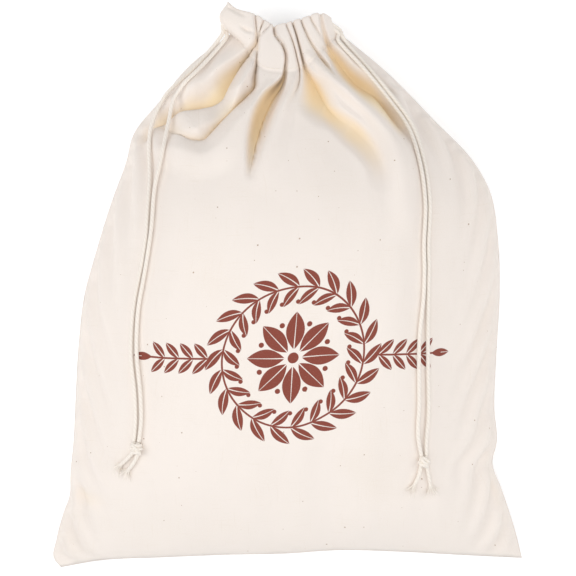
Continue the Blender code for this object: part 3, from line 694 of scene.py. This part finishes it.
bare_cloth = surface_tree(front, back)
for panel, points in ((front, front_points), (back, back_points)):
    count = len(panel.data.vertices)
    values = np.ones(count)
    values = blurred(openness_of(panel, bare_cloth), points.shape[:2])
    open_to_light = panel.data.attributes.new("open", "FLOAT", "POINT")
    open_to_light.data.foreach_set("value", values)
    print(panel.name, "mean openness", round(float(values.mean()), 2))


def apply_modifiers(piece):
    """Replaces a piece's mesh with what its modifiers make of it."""
    shaped = piece.evaluated_get(bpy.context.evaluated_depsgraph_get())
    mesh = bpy.data.meshes.new_from_object(shaped)
    piece.modifiers.clear()
    piece.data = mesh


for panel in (front, back):
    apply_modifiers(panel)
cloth_tree = surface_tree(front, back)

# %% [markdown]
# ## Laying cords on the cloth
#
# A soft cord lies on what is under it and carries over small dips. It is three yarns
# twisted together, so the tube around its centre line has three lobes that turn as they
# go along.

# %% Laying cords on the cloth
CORD = 2.5                 # the drawstring's diameter
CORD_CLEAR = 0.3           # how far it stays off the cloth
FIRST_HEIGHT = 27.5        # where a strand starts if no cloth is under it
SLOPE_ROOM = 0.8           # the share of its clearance that a point starts with
RAISE = 0.1                # millimetres that it is lifted at a time
STRAND_POINTS = 40
STRAND_FINE = 4            # points looked at for each one kept
BRIDGING = 40              # rounds in which the dips under a cord are carried over
TWIST_PITCH = 9.0          # along the cord for one turn of its yarns
TWIST_DEPTH = 0.05         # how deep the grooves between the yarns are
LOBE_ROUND = 0.7           # under 1, the yarns are fuller and the grooves narrower
TUBE_STEP = 0.9
TUBE_SIDES = 24


def settle(x, y, reach):
    """The lowest point over x, y that is at least reach (metres) from the cloth."""
    point = Vector(world_points((x, y, 2 * HALF_LENGTH)))
    hit = cloth_tree.ray_cast(point, Vector((0, 0, -1)))[0]
    point.z = (hit.z if hit else FIRST_HEIGHT * MM) + SLOPE_ROOM * reach
    return lift_clear(point, reach)


def lift_clear(point, reach):
    while cloth_tree.find_nearest(point, reach)[0] is not None:
        point.z += RAISE * MM
    return point


def lay_on(route):
    """A plan route laid on the cloth, bridging small dips as a soft cord does."""
    reach = (CORD / 2 + CORD_CLEAR) * MM
    plan = curve(route)(np.linspace(0, 1, STRAND_FINE * STRAND_POINTS + 1))
    points = [settle(x, y, reach) for x, y in plan]
    for _ in range(BRIDGING):
        for low, here, high in zip(points, points[1:], points[2:]):
            here.z = max(here.z, (low.z + high.z) / 2)
    return [tuple(p) for p in points[::STRAND_FINE]]


def rings_along(points, step):
    """Even points along a line, with two directions across it that never spin."""
    points = np.array(points)
    length = np.linalg.norm(np.diff(points, axis=0), axis=1).sum()
    count = max(3, round(length / step) + 1)
    middle = curve(points)(np.linspace(0, 1, count))
    ahead = np.gradient(middle, axis=0)
    ahead /= np.linalg.norm(ahead, axis=1)[:, None]
    side = np.zeros_like(ahead)
    start = np.cross(ahead[0], (0, 0, 1))
    if np.linalg.norm(start) < 0.1:
        start = np.cross(ahead[0], (0, 1, 0))
    side[0] = start / np.linalg.norm(start)
    for k in range(1, count):
        turned = side[k - 1] - ahead[k] * (side[k - 1] @ ahead[k])
        side[k] = turned / np.linalg.norm(turned)
    return middle, side, np.cross(side, ahead), length


def tube(bm, points, radius, sides, step, taper=((0, 1), (1, 1)), yarns=0,
         first_turn=0.0):
    """Adds a closed round tube along points to bm. With yarns it is twisted."""
    middle, side, up, length = rings_along(points, step * MM)
    share = np.linspace(0, 1, len(middle))
    width = np.interp(share, *zip(*taper)) * radius * MM
    angle = np.linspace(0, 2 * math.pi, sides, endpoint=False)
    twist = first_turn + share * length / (TWIST_PITCH * MM) * 2 * math.pi
    lobes = np.ones((len(middle), sides))
    if yarns:
        phase = (angle[None, :] - twist[:, None]) * yarns / 2
        lobes = 1 - TWIST_DEPTH * (1 - np.abs(np.cos(phase)) ** LOBE_ROUND)
    reach = width[:, None] * lobes
    ring = (middle[:, None] + side[:, None] * (np.cos(angle) * reach)[..., None]
            + up[:, None] * (np.sin(angle) * reach)[..., None])
    groove = bm.verts.layers.float.get("groove") or bm.verts.layers.float.new("groove")
    rows = [[bm.verts.new(p) for p in row] for row in ring]
    for row, heights in zip(rows, lobes):
        for vertex, height in zip(row, heights):
            vertex[groove] = (1 - height) / TWIST_DEPTH
    for low, high in zip(rows, rows[1:]):
        for k in range(sides):
            m = (k + 1) % sides
            bm.faces.new((low[k], low[m], high[m], high[k]))
    for row, centre, turn in ((rows[0], middle[0], -1), (rows[-1], middle[-1], 1)):
        cap = bm.verts.new(centre)
        for k in range(sides):
            edge = (row[k], row[(k + 1) % sides])[::turn]
            bm.faces.new((*edge, cap))


def finished(name, bm):
    """A smooth object made from bm."""
    bmesh.ops.recalc_face_normals(bm, faces=bm.faces)
    mesh = bpy.data.meshes.new(name)
    bm.to_mesh(mesh)
    bm.free()
    mesh.shade_smooth()
    piece = bpy.data.objects.new(name, mesh)
    scene.collection.objects.link(piece)
    return piece


# %% [markdown]
# ## The drawstrings
#
# Each side has one cord doubled, so two strands leave each ear, run close together over
# the shoulder and end in one knot. The strands' routes are the solid model's own, with
# a short stretch inside the channel put before them, so that no cut end shows. The rest
# of the cord is hidden in the channel and isn't made. Each stated length is the solid
# model's strand and that stretch, and the length that was laid is printed beside it.

# %% The drawstrings
STRAND_TURN = 1.3          # radians between the first turns of two strands
CORD_ROUTES = {   # the stated length in metres, and x, y from the ear to the knot
    "cord_left_a": (0.295, [
        (-41.2, 344), (-43.6, 339.3), (-50.6, 330), (-59.6, 319.6), (-68.6, 311),
        (-76.6, 302.6), (-81.2, 294.1), (-84.6, 285.4), (-86.3, 276.9), (-86.3, 266.8),
        (-85.4, 246.6), (-86.2, 226.8), (-86.8, 213), (-88.7, 199.1), (-93.9, 171),
        (-95.8, 141.8), (-93.3, 112.5), (-93.2, 97.8), (-94.4, 86.6)]),
    "cord_left_b": (0.290, [
        (-38.8, 341.6), (-41.6, 336.4), (-48.6, 327.4), (-57.6, 316.9), (-66, 308),
        (-71.2, 299.9), (-74.6, 284), (-77.5, 265), (-81.8, 243.5), (-83.6, 216),
        (-88.3, 185), (-90.9, 170.6), (-92.3, 141.9), (-89.8, 112.6), (-89.7, 98),
        (-91.3, 86.6)]),
    "cord_right_a": (0.298, [
        (31.6, 339.4), (34.8, 333.9), (42.6, 324.9), (51.8, 313.5), (63, 299.2),
        (74.5, 281.6), (81.2, 257.5), (83.8, 234), (82.6, 203.8), (82.8, 196.4),
        (82.5, 179.6), (79.8, 149.6), (79.9, 109.2), (79.6, 88.7), (81.8, 77.9)]),
    "cord_right_b": (0.302, [
        (34.2, 341.6), (37.4, 335.9), (44.8, 326.9), (53.9, 315.5), (65.2, 301),
        (77.1, 282.6), (84, 258.1), (86.6, 234), (85.4, 203.6), (85.6, 196.4),
        (85.3, 179), (85.1, 159.6), (85.4, 129.4), (85.6, 99), (84.7, 88.7), (85, 77.9)]),
}

LEAD_INS = {   # x, y inside the channel, then x, y, z at its opening in the ear
    "cord_left_a": ([(-33.5, 352.6), (-38.2, 349.6)], (-41.6, 346.8, 28.4)),
    "cord_left_b": ([(-31.5, 349.8), (-36.3, 346.8)], (-39.7, 344.4, 27.6)),
    "cord_right_a": ([(24.5, 347.0), (28.3, 345.3)], (32.2, 342.2, 29.8)),
    "cord_right_b": ([(24.5, 350.3), (28.0, 347.8)], (33.6, 343.8, 28.2)),
}


def lead_in(inside, opening):
    """The cord's last stretch inside the channel, under its outer layer."""
    points = []
    for x, y in inside:
        above = Vector(world_points((x, y, 2 * HALF_LENGTH)))
        top = cloth_tree.ray_cast(above, Vector((0, 0, -1)))[0]
        points.append((top.x, top.y, top.z - (CHANNEL_DEPTH + LINEN) / 2 * MM))
    return points + [tuple(world_points(opening))]


strands = {}
for number, (name, (length, route)) in enumerate(CORD_ROUTES.items()):
    path = lead_in(*LEAD_INS[name]) + lay_on(route)
    bm = bmesh.new()
    tube(bm, path, CORD / 2, TUBE_SIDES, TUBE_STEP, yarns=3,
         first_turn=number * STRAND_TURN)
    strands[name] = finished(name.replace("cord", "drawstring"), bm), path, length
    made = sum(math.dist(p, q) for p, q in zip(path, path[1:]))
    print(name, f"{made * 1000:.0f} mm laid, {length * 1000:.0f} mm stated")


# %% [markdown]
# ## The knots
#
# Both strands of a side go into one overhand knot: a doubled turn round the core, one
# strand crossing over it, and two short tails whose yarns have come apart.

# %% The knots
KNOTS = {   # middle in plan, half sizes, the turn of the wraps in plan, and the tails
    "knot_left": {
        "middle": (-92.8, 82.4), "half": (4.0, 3.6, 3.0), "lean": 0.15, "comes_from": (
            (-94.4, 86.6), (-91.3, 86.6)),
        "tails": [[(-95, 80), (-99, 75.5), (-103.5, 71.5)],
                  [(-92, 79), (-94.5, 74), (-98.5, 68.5)]]},
    "knot_right": {
        "middle": (83.4, 74.1), "half": (3.6, 3.3, 2.9), "lean": -0.45, "comes_from": (
            (81.8, 77.9), (85.0, 77.9)),
        "tails": [[(81.6, 71), (80.6, 65.5), (77.6, 59)],
                  [(85.2, 71), (86.6, 65.5), (88, 58.5)]]},
}
KNOT_ROPE = 1.12           # the cord's radius where it is pulled tight
WRAP_TURNS = 2.35
WRAP_STEPS = 40
YARNS = 24                 # at the end of a tail
YARN_LENGTH = 8.0
YARN_RADIUS = 0.3
YARN_SPREAD = 0.8
YARN_BEND, YARN_DROOP = 0.22, 1.2
YARN_STEPS = 6
YARN_PLACE = 2.4           # radians from one yarn to the next
YARN_ROOT = (1.6, 0.33)    # how far inside the tail a yarn starts, and how far out
SEED = 5


def wrapped(middle, half, lean):
    """A helix round the knot's core, as points in metres."""
    t = np.linspace(0, 1, WRAP_STEPS)
    turn = t * WRAP_TURNS * 2 * math.pi + 0.6
    along = (t - 0.5) * 2 * (half[1] - KNOT_ROPE)
    wide, tall = half[0] - KNOT_ROPE, half[2] - KNOT_ROPE
    x, z = wide * np.cos(turn), tall * np.sin(turn)
    cos, sin = math.cos(lean), math.sin(lean)
    points = np.stack([x * cos - along * sin, x * sin + along * cos, z], -1)
    return np.array(middle) + points * MM


def frayed_tail(bm, middle, route, luck):
    """One tail from the knot's middle, and the yarns that its end comes apart into."""
    reach = (CORD / 2 + CORD_CLEAR) * MM
    plan = curve(route)(np.linspace(0, 1, 7))
    points = [Vector(middle)] + [settle(x, y, reach) for x, y in plan]
    tube(bm, points, CORD / 2, 18, TUBE_STEP, yarns=3,
         taper=((0, 0.85), (0.2, 1), (0.85, 0.95), (1, 0.7)))
    ahead = (points[-1] - points[-3]).normalized()
    beside = Vector((-ahead.y, ahead.x, 0)).normalized()
    over = beside.cross(ahead)
    for k in range(YARNS):
        turn = k * YARN_PLACE
        out = math.sqrt((k + 0.5) / YARNS)
        across = beside * math.cos(turn) * out + over * math.sin(turn) * out
        root = points[-1] - ahead * YARN_ROOT[0] * MM + across * CORD * YARN_ROOT[1] * MM
        length = YARN_LENGTH * luck.uniform(0.55, 1.05)
        bend = Vector((luck.uniform(-1, 1), luck.uniform(-1, 1), 0)) * YARN_BEND
        yarn = []
        for s in np.linspace(0, 1, YARN_STEPS):
            way = ahead + across * YARN_SPREAD * s + bend * s * s
            place = root + way * (length * s * MM)
            place.z -= YARN_DROOP * s * s * MM
            yarn.append(lift_clear(place, YARN_RADIUS * MM) if s else place)
        tube(bm, yarn, YARN_RADIUS * luck.uniform(0.75, 1.15), 7, 0.8,
             taper=((0, 1), (0.6, 0.9), (1, 0.3)))


knots = {}
luck = random.Random(SEED)
for name, facts in KNOTS.items():
    half = facts["half"]
    middle = settle(*facts["middle"], (half[2] + CORD_CLEAR) * MM)
    bm = bmesh.new()
    tube(bm, wrapped(middle, half, facts["lean"]), KNOT_ROPE, 16, 0.6, yarns=3,
         taper=((0, 0.8), (0.05, 1), (0.95, 1), (1, 0.8)))
    for x, y in facts["comes_from"]:
        start = settle(x, y, (CORD / 2 + CORD_CLEAR) * MM)
        inward = (middle - start) * 0.9
        tube(bm, [start + inward * s for s in (0.12, 0.4, 0.7, 1.0)], CORD / 2, 18, 0.8,
             yarns=3, taper=((0, 0.9), (0.2, 1), (1, 0.8)))
    side, rise = half[0] * 0.55, half[2] * 0.92
    crossing = [(-side, half[1] * 0.9, -0.8), (-side * 0.6, half[1] * 0.55, rise * 0.75),
                (0, 0, rise), (side * 0.7, -half[1] * 0.55, rise * 0.72),
                (side, -half[1] * 0.95, -0.8)]
    tube(bm, [middle + Vector(p) * MM for p in crossing], KNOT_ROPE * 0.95, 16, 0.6, yarns=3)
    for route in facts["tails"]:
        frayed_tail(bm, middle, route, luck)
    knots[name] = finished(name.replace("knot", "tied_knot"), bm)
    print(name, "faces:", len(knots[name].data.polygons))

# %% [markdown]
# ## Stitching
#
# A lockstitch holds the turned edge down. Each stitch is a short piece of thread whose
# ends dive into the cloth.

# %% Stitching
STITCH = 2.3               # a stitch's length
STITCH_GAP = 0.8
STITCH_LIFTS = (-0.2, 1, 1, 1, -0.2)   # along a stitch, as shares of its rise
THREAD_RADIUS = 0.21
THREAD_RISE = 0.07         # how far a stitch's middle stands on the cloth
STITCH_ROW = 2             # rows of the mesh above the channel's lower edge


def stitched(bm, line):
    """Stitches along a line of plan points in millimetres, laid on the cloth."""
    line = world_points(line)
    run = np.concatenate([[0], np.cumsum(np.linalg.norm(np.diff(line, axis=0), axis=1))])
    place = STITCH_GAP * MM
    while place + STITCH * MM < run[-1]:
        along = place + np.linspace(0, 1, len(STITCH_LIFTS)) * STITCH * MM
        points = []
        for far, lifted in zip(along, STITCH_LIFTS):
            on_line = Vector([np.interp(far, run, line[:, axis]) for axis in range(3)])
            spot, normal, _, _ = cloth_tree.find_nearest(on_line)
            points.append(spot + normal * (lifted * THREAD_RISE * MM))
        tube(bm, points, THREAD_RADIUS, 6, 0.5,
             taper=((0, 0.6), (0.2, 1), (0.8, 1), (1, 0.6)))
        place += (STITCH + STITCH_GAP) * MM


hem_row = sum(count for _, _, count in BODY_ROWS) + STITCH_ROW
bm = bmesh.new()
for points in (front_points, back_points):
    stitched(bm, points[hem_row])
hem_thread = finished("hem_stitches", bm)
print("stitching faces:", len(hem_thread.data.polygons))

# %% [markdown]
# ## Shader maths
#
# A small class lets sockets be added and multiplied like numbers, so a pattern reads
# like the formula it is.

# %% Shader maths
class Value:
    """A shader socket that works with +, -, *, / and ** as a number does."""

    def __init__(self, tree, socket):
        self.tree, self.socket = tree, socket

    def node(self, kind, *inputs, out=0, **settings):
        """Any other node, with its inputs in order. None leaves one as it is."""
        made = self.tree.nodes.new("ShaderNode" + kind)
        for key, value in settings.items():
            setattr(made, key, value)
        for slot, value in zip(made.inputs, inputs):
            if isinstance(value, Value):
                self.tree.links.new(value.socket, slot)
            elif value is not None:
                slot.default_value = value
        return Value(self.tree, made.outputs[out])

    def maths(self, operation, *others):
        return self.node("Math", self, *others, operation=operation)

    def __add__(self, other):
        return self.maths("ADD", other)

    def __sub__(self, other):
        return self.maths("SUBTRACT", other)

    def __mul__(self, other):
        return self.maths("MULTIPLY", other)

    def __truediv__(self, other):
        return self.maths("DIVIDE", other)

    def __pow__(self, other):
        return self.maths("POWER", other)

    def __rsub__(self, other):
        return self * -1 + other

    __radd__, __rmul__ = __add__, __mul__

    def size(self):
        return self.maths("ABSOLUTE")

    def sine(self):
        return self.maths("SINE")

    def least(self, other):
        return self.maths("MINIMUM", other)

    def most(self, other):
        return self.maths("MAXIMUM", other)

    def share(self, low, high):
        """0 at low, 1 at high, smooth between."""
        return self.node("MapRange", self, low, high, interpolation_type="SMOOTHSTEP")

    def mixed(self, first, second):
        """first where this is 0 and second where it is 1. Both are colours."""
        made = self.tree.nodes.new("ShaderNodeMix")
        made.data_type = "RGBA"
        for name, value in (("Factor_Float", self), ("A_Color", first), ("B_Color", second)):
            slot = next(s for s in made.inputs if s.identifier == name)
            if isinstance(value, Value):
                self.tree.links.new(value.socket, slot)
            else:
                slot.default_value = (*value, 1)
        colour = next(s for s in made.outputs if s.identifier == "Result_Color")
        return Value(self.tree, colour)


SHEEN_ROUGHNESS, SPECULAR = 0.6, 0.2


def new_material(name, roughness, sheen):
    """An empty matt material, its shader, and a value to start its maths from."""
    material = bpy.data.materials.new(name)
    material.use_nodes = True
    tree = material.node_tree
    shader = tree.nodes["Principled BSDF"]
    shader.inputs["Roughness"].default_value = roughness
    shader.inputs["Sheen Weight"].default_value = sheen
    shader.inputs["Sheen Roughness"].default_value = SHEEN_ROUGHNESS
    shader.inputs["Specular IOR Level"].default_value = SPECULAR
    return material, shader, Value(tree, None)


def feed(shader, name, value):
    value.tree.links.new(value.socket, shader.inputs[name])


# %% [markdown]
# ## Linen
#
# The threads cross every half millimetre. Some are thicker for a few centimetres, in
# both directions, and here and there a brown bit of plant fibre was spun in. Thin linen
# scatters light between a fold's walls until it looks golden, and a narrow slit turns
# dark. Both are painted into the colour here, since that is quick and even. The price
# is that they stay as they are when the lamps are moved.

# %% Linen
THREAD_PITCH = 0.55        # millimetres
LINEN_COLOUR = (0.894, 0.814, 0.748)
SLUB_COLOUR = (0.80, 0.70, 0.59)
PAINTED_FOLD_GLOW = (0.945, 0.755, 0.485)
FLECK_COLOUR = (0.36, 0.22, 0.12)
FLECK_CELL = 12.5          # millimetres of cloth for each fleck
FLECK_RADIUS = 0.62
FLECK_RARITY = 5.5         # the power that leaves most cells with hardly any fleck
FLECK_COVER = 0.7
FLECK_EDGE = 0.16          # millimetres over which a fleck fades
FLAT_CELLS = {"voronoi_dimensions": "2D"}
SLIT_OPEN = (0.26, 0.02)   # openness at which a slit starts to darken, and is darkest
PAINTED_SLIT_SHADE = (0.42, 0.32, 0.25)
WEAVE_STRENGTH = 0.55
WEAVE_DEPTH = 0.00012      # metres


def noise_of(start, x, y, seed, detail=2.0):
    """Smooth noise of a point, with its middle at 0.5."""
    place = start.node("CombineXYZ", x, y, seed)
    return start.node("TexNoise", place, None, 1.0, detail, 0.5)


def slubs(start, across, along, seed):
    """Thick threads that run along, as 0..1."""
    streak = noise_of(start, across * (1 / 0.9), along * (1 / 24), seed)
    return streak.share(0.60, 0.76)


def linen(name, ink=None):
    """Linen. ink is a function of the start value and the cloth's x and y in
    millimetres, and gives how much of the thread's colour the print covers."""
    material, shader, start = new_material(name, 0.9, 0.08)
    weave = start.node("UVMap", uv_map="weave")
    x = weave.node("SeparateXYZ", weave, out="X") * 1000
    y = weave.node("SeparateXYZ", weave, out="Y") * 1000

    sway = noise_of(start, x * 0.25, y * 0.25, 3.0) - 0.5
    warp = ((x + sway * 0.5) * (math.pi / THREAD_PITCH)).sine().size()
    weft = ((y + sway * 0.5) * (math.pi / THREAD_PITCH)).sine().size()
    thread = (warp * weft) ** 0.6
    thick = slubs(start, x, y, 11.0).most(slubs(start, y, x, 23.0))

    tone = noise_of(start, x * (1 / 38), y * (1 / 52), 7.0)
    fine = noise_of(start, x, y, 31.0, 3.0)
    colour = (thick * 0.22 + (fine - 0.5) * 0.45 + (tone - 0.5) * 0.6).mixed(
        LINEN_COLOUR, SLUB_COLOUR)

    spots = start.node("CombineXYZ", x * (1 / FLECK_CELL), y * (1 / FLECK_CELL), 0.0)
    away = start.node("TexVoronoi", spots, None, 1.0, **FLAT_CELLS) * FLECK_CELL
    each = start.node("TexVoronoi", spots, None, 1.0, out="Color", **FLAT_CELLS)
    radius = start.node("SeparateColor", each) ** FLECK_RARITY * FLECK_RADIUS
    fleck = ((radius - away) / FLECK_EDGE).least(FLECK_COVER).most(0.0)
    colour = fleck.mixed(colour, FLECK_COLOUR)

    # Painted light: deep in a fold the colour turns golden, in place of light bounced between
    # the fold's walls.
    hollow = start.node("Attribute", attribute_name="hollow", out="Fac")
    colour = hollow.mixed(colour, PAINTED_FOLD_GLOW)
    # Painted shade: where little light gets in, the colour darkens towards the slit's shade.
    open_to_light = start.node("Attribute", attribute_name="open", out="Fac")
    colour = open_to_light.share(*SLIT_OPEN).mixed(colour, PAINTED_SLIT_SHADE)
    if ink:
        covered = ink(start, x, y) * (0.96 + 0.20 * (fine - 0.5) + 0.04 * thread)
        colour = covered.most(0.0).least(0.97).mixed(colour, INK_COLOUR)
    feed(shader, "Base Color", colour)
    height = thread + thick * 0.5 + fine * 0.6
    feed(shader, "Normal", start.node("Bump", WEAVE_STRENGTH, WEAVE_DEPTH, None, height))
    return material


# %% [markdown]
# ## The print
#
# One colour of ink, in the middle of the front: a wreath of leaves round a flower, and
# a leafy sprig to either side. Each leaf is the same small formula, turned and repeated.

# %% The print
INK_COLOUR = (0.236, 0.040, 0.021)
PRINT_PLACE = (3, 138)     # its middle in plan
WREATH_RADIUS = 43.0
WREATH_LEAVES = 22
LEAF = (7.9, 3.0)          # half length, half width
LEAF_TURN = 0.75           # radians from the stem
LEAF_FOOT = 5.9            # how far before the middle of its place a leaf starts
BERRY_RING = 34.0
BERRY = 1.35
FLOWER_PETALS = 8
PETAL = (11.5, 5.6)
PETAL_FOOT = 5.0
EYE = 3.3
DOT_RING, DOT = 21.5, 1.6
SPRIG = (52.0, 95.0)       # from the middle to a sprig's foot and to its tip
SPRIG_PAIRS = 4
SPRIG_LEAF = (6.6, 2.5)
SPRIG_TURN = 0.8
STEM = 0.6
SOFT_EDGE = 0.22           # millimetres over which the ink fades at an edge


def leaf(x, y, turn, half_length, half_width):
    """How far inside a leaf's outline a point is, in millimetres. It has a bare rib."""
    cos, sin = math.cos(turn), math.sin(turn)
    along = x * cos + y * sin - half_length
    across = (y * cos - x * sin).size()
    bulge = 1 - (along / half_length) ** 2
    return (bulge * half_width - across).least(across - 0.22 + (along / half_length) * 0.1)


def repeated(value, step):
    """The offset from the middle of the nearest of evenly repeated places."""
    return (value / step + 0.5).maths("FRACT") * step - step / 2


def stem(across, half_width):
    return half_width - across.size()


def dot(x, y, radius):
    return radius - (x * x + y * y).maths("SQRT")


def printed(start, x, y):
    """The whole design's cover, 0 or 1, with a soft edge."""
    x, y = x - PRINT_X, y - PRINT_Y
    radius = (x * x + y * y).maths("SQRT")
    angle = y.maths("ARCTAN2", x)

    ring_step = 2 * math.pi / WREATH_LEAVES
    along = repeated(angle, ring_step) * WREATH_RADIUS
    out = radius - WREATH_RADIUS
    shape = stem(out, STEM)
    shape = shape.most(leaf(along + LEAF_FOOT, out.size(), LEAF_TURN, *LEAF))
    berry_at = repeated(angle + ring_step / 2, ring_step) * BERRY_RING
    shape = shape.most(dot(berry_at, radius - BERRY_RING, BERRY))

    petal_step = 2 * math.pi / FLOWER_PETALS
    turned = repeated(angle, petal_step)
    petal_x, petal_y = radius * turned.maths("COSINE"), radius * turned.sine()
    shape = shape.most(leaf(petal_x - PETAL_FOOT, petal_y, 0.0, *PETAL))
    shape = shape.most(EYE - radius)
    between = repeated(angle + petal_step / 2, petal_step)
    shape = shape.most(dot(radius * between.sine(),
                           radius * between.maths("COSINE") - DOT_RING, DOT))

    foot, tip = SPRIG
    step = (tip - foot) / (SPRIG_PAIRS + 0.8)
    reach = x.size() - foot
    shape = shape.most(stem(y, STEM).least(reach).least(tip - foot - reach))
    pair = repeated(reach - step / 2, step)
    place = reach - pair                       # the middle of the nearest pair's place
    pairs = leaf(pair + step / 2, y.size(), SPRIG_TURN, *SPRIG_LEAF)
    pairs = pairs.least(place).least(step * SPRIG_PAIRS - place)
    shape = shape.most(pairs)
    shape = shape.most(leaf(reach - step * SPRIG_PAIRS, y, 0.0, *SPRIG_LEAF))
    ragged = noise_of(start, x * 2.2, y * 2.2, 41.0) - 0.5
    return ((shape + ragged * 0.35) / SOFT_EDGE + 0.5).most(0.0).least(1.0)


body_rows = sum(count for _, _, count in BODY_ROWS)
on_plan = front_points[:body_rows, :, :2] - PRINT_PLACE
nearest = np.unravel_index((on_plan**2).sum(-1).argmin(), on_plan.shape[:2])
PRINT_X, PRINT_Y = (float(c) * 1000 for c in front_weave[nearest])
print(f"the print's middle on the cloth: {PRINT_X:.1f}, {PRINT_Y:.1f} mm")

printed_linen = linen("printed_linen", printed)
plain_linen = linen("plain_linen")

# %% [markdown]
# ## Cotton
#
# Shade is painted into the cord's grooves. Its fibres are fine and fluffy.

# %% Cotton
CORD_COLOUR = (0.895, 0.825, 0.745)
PAINTED_GROOVE_SHADE = (0.58, 0.49, 0.38)


def cotton(name, light, dark, grain):
    material, shader, start = new_material(name, 0.85, 0.35)
    place = start.node("TexCoord", out="Object")
    fibre = start.node("TexNoise", place, None, grain, 4.0, 0.6)
    groove = start.node("Attribute", attribute_name="groove", out="Fac")
    # Painted shade: the grooves between the yarns are mixed towards the dark colour.
    shade = (groove ** 1.4 * 0.34 + (fibre - 0.5) * 0.35).most(0.0).least(1.0)
    feed(shader, "Base Color", shade.mixed(light, dark))
    feed(shader, "Normal", start.node("Bump", 0.5, 0.00012, None, fibre))
    return material


cord_cotton = cotton("cord_cotton", CORD_COLOUR, PAINTED_GROOVE_SHADE, 1400.0)
thread_cotton = cotton("thread_cotton", (0.86, 0.78, 0.68), PAINTED_GROOVE_SHADE, 3000.0)

# %% [markdown]
# ## What each piece is
#
# Every piece rides on the bag's one body and stands for the solid that it covers.

for panel, node, finish in ((front, "front_panel", printed_linen),
                            (back, "back_panel", plain_linen)):
    panel.data.materials.clear()
    panel.data.materials.append(finish)
    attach(panel, "root")
    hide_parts(node)
hem_thread.data.materials.append(thread_cotton)
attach(hem_thread, "root")
for name, knot in knots.items():
    knot.data.materials.append(cord_cotton)
    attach(knot, "root")
    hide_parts(name)
for name, (piece, path, length) in strands.items():
    piece.data.materials.append(cord_cotton)
    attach(piece, "root")
    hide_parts(name)
    knot = knots["knot_left" if "left" in name else "knot_right"]
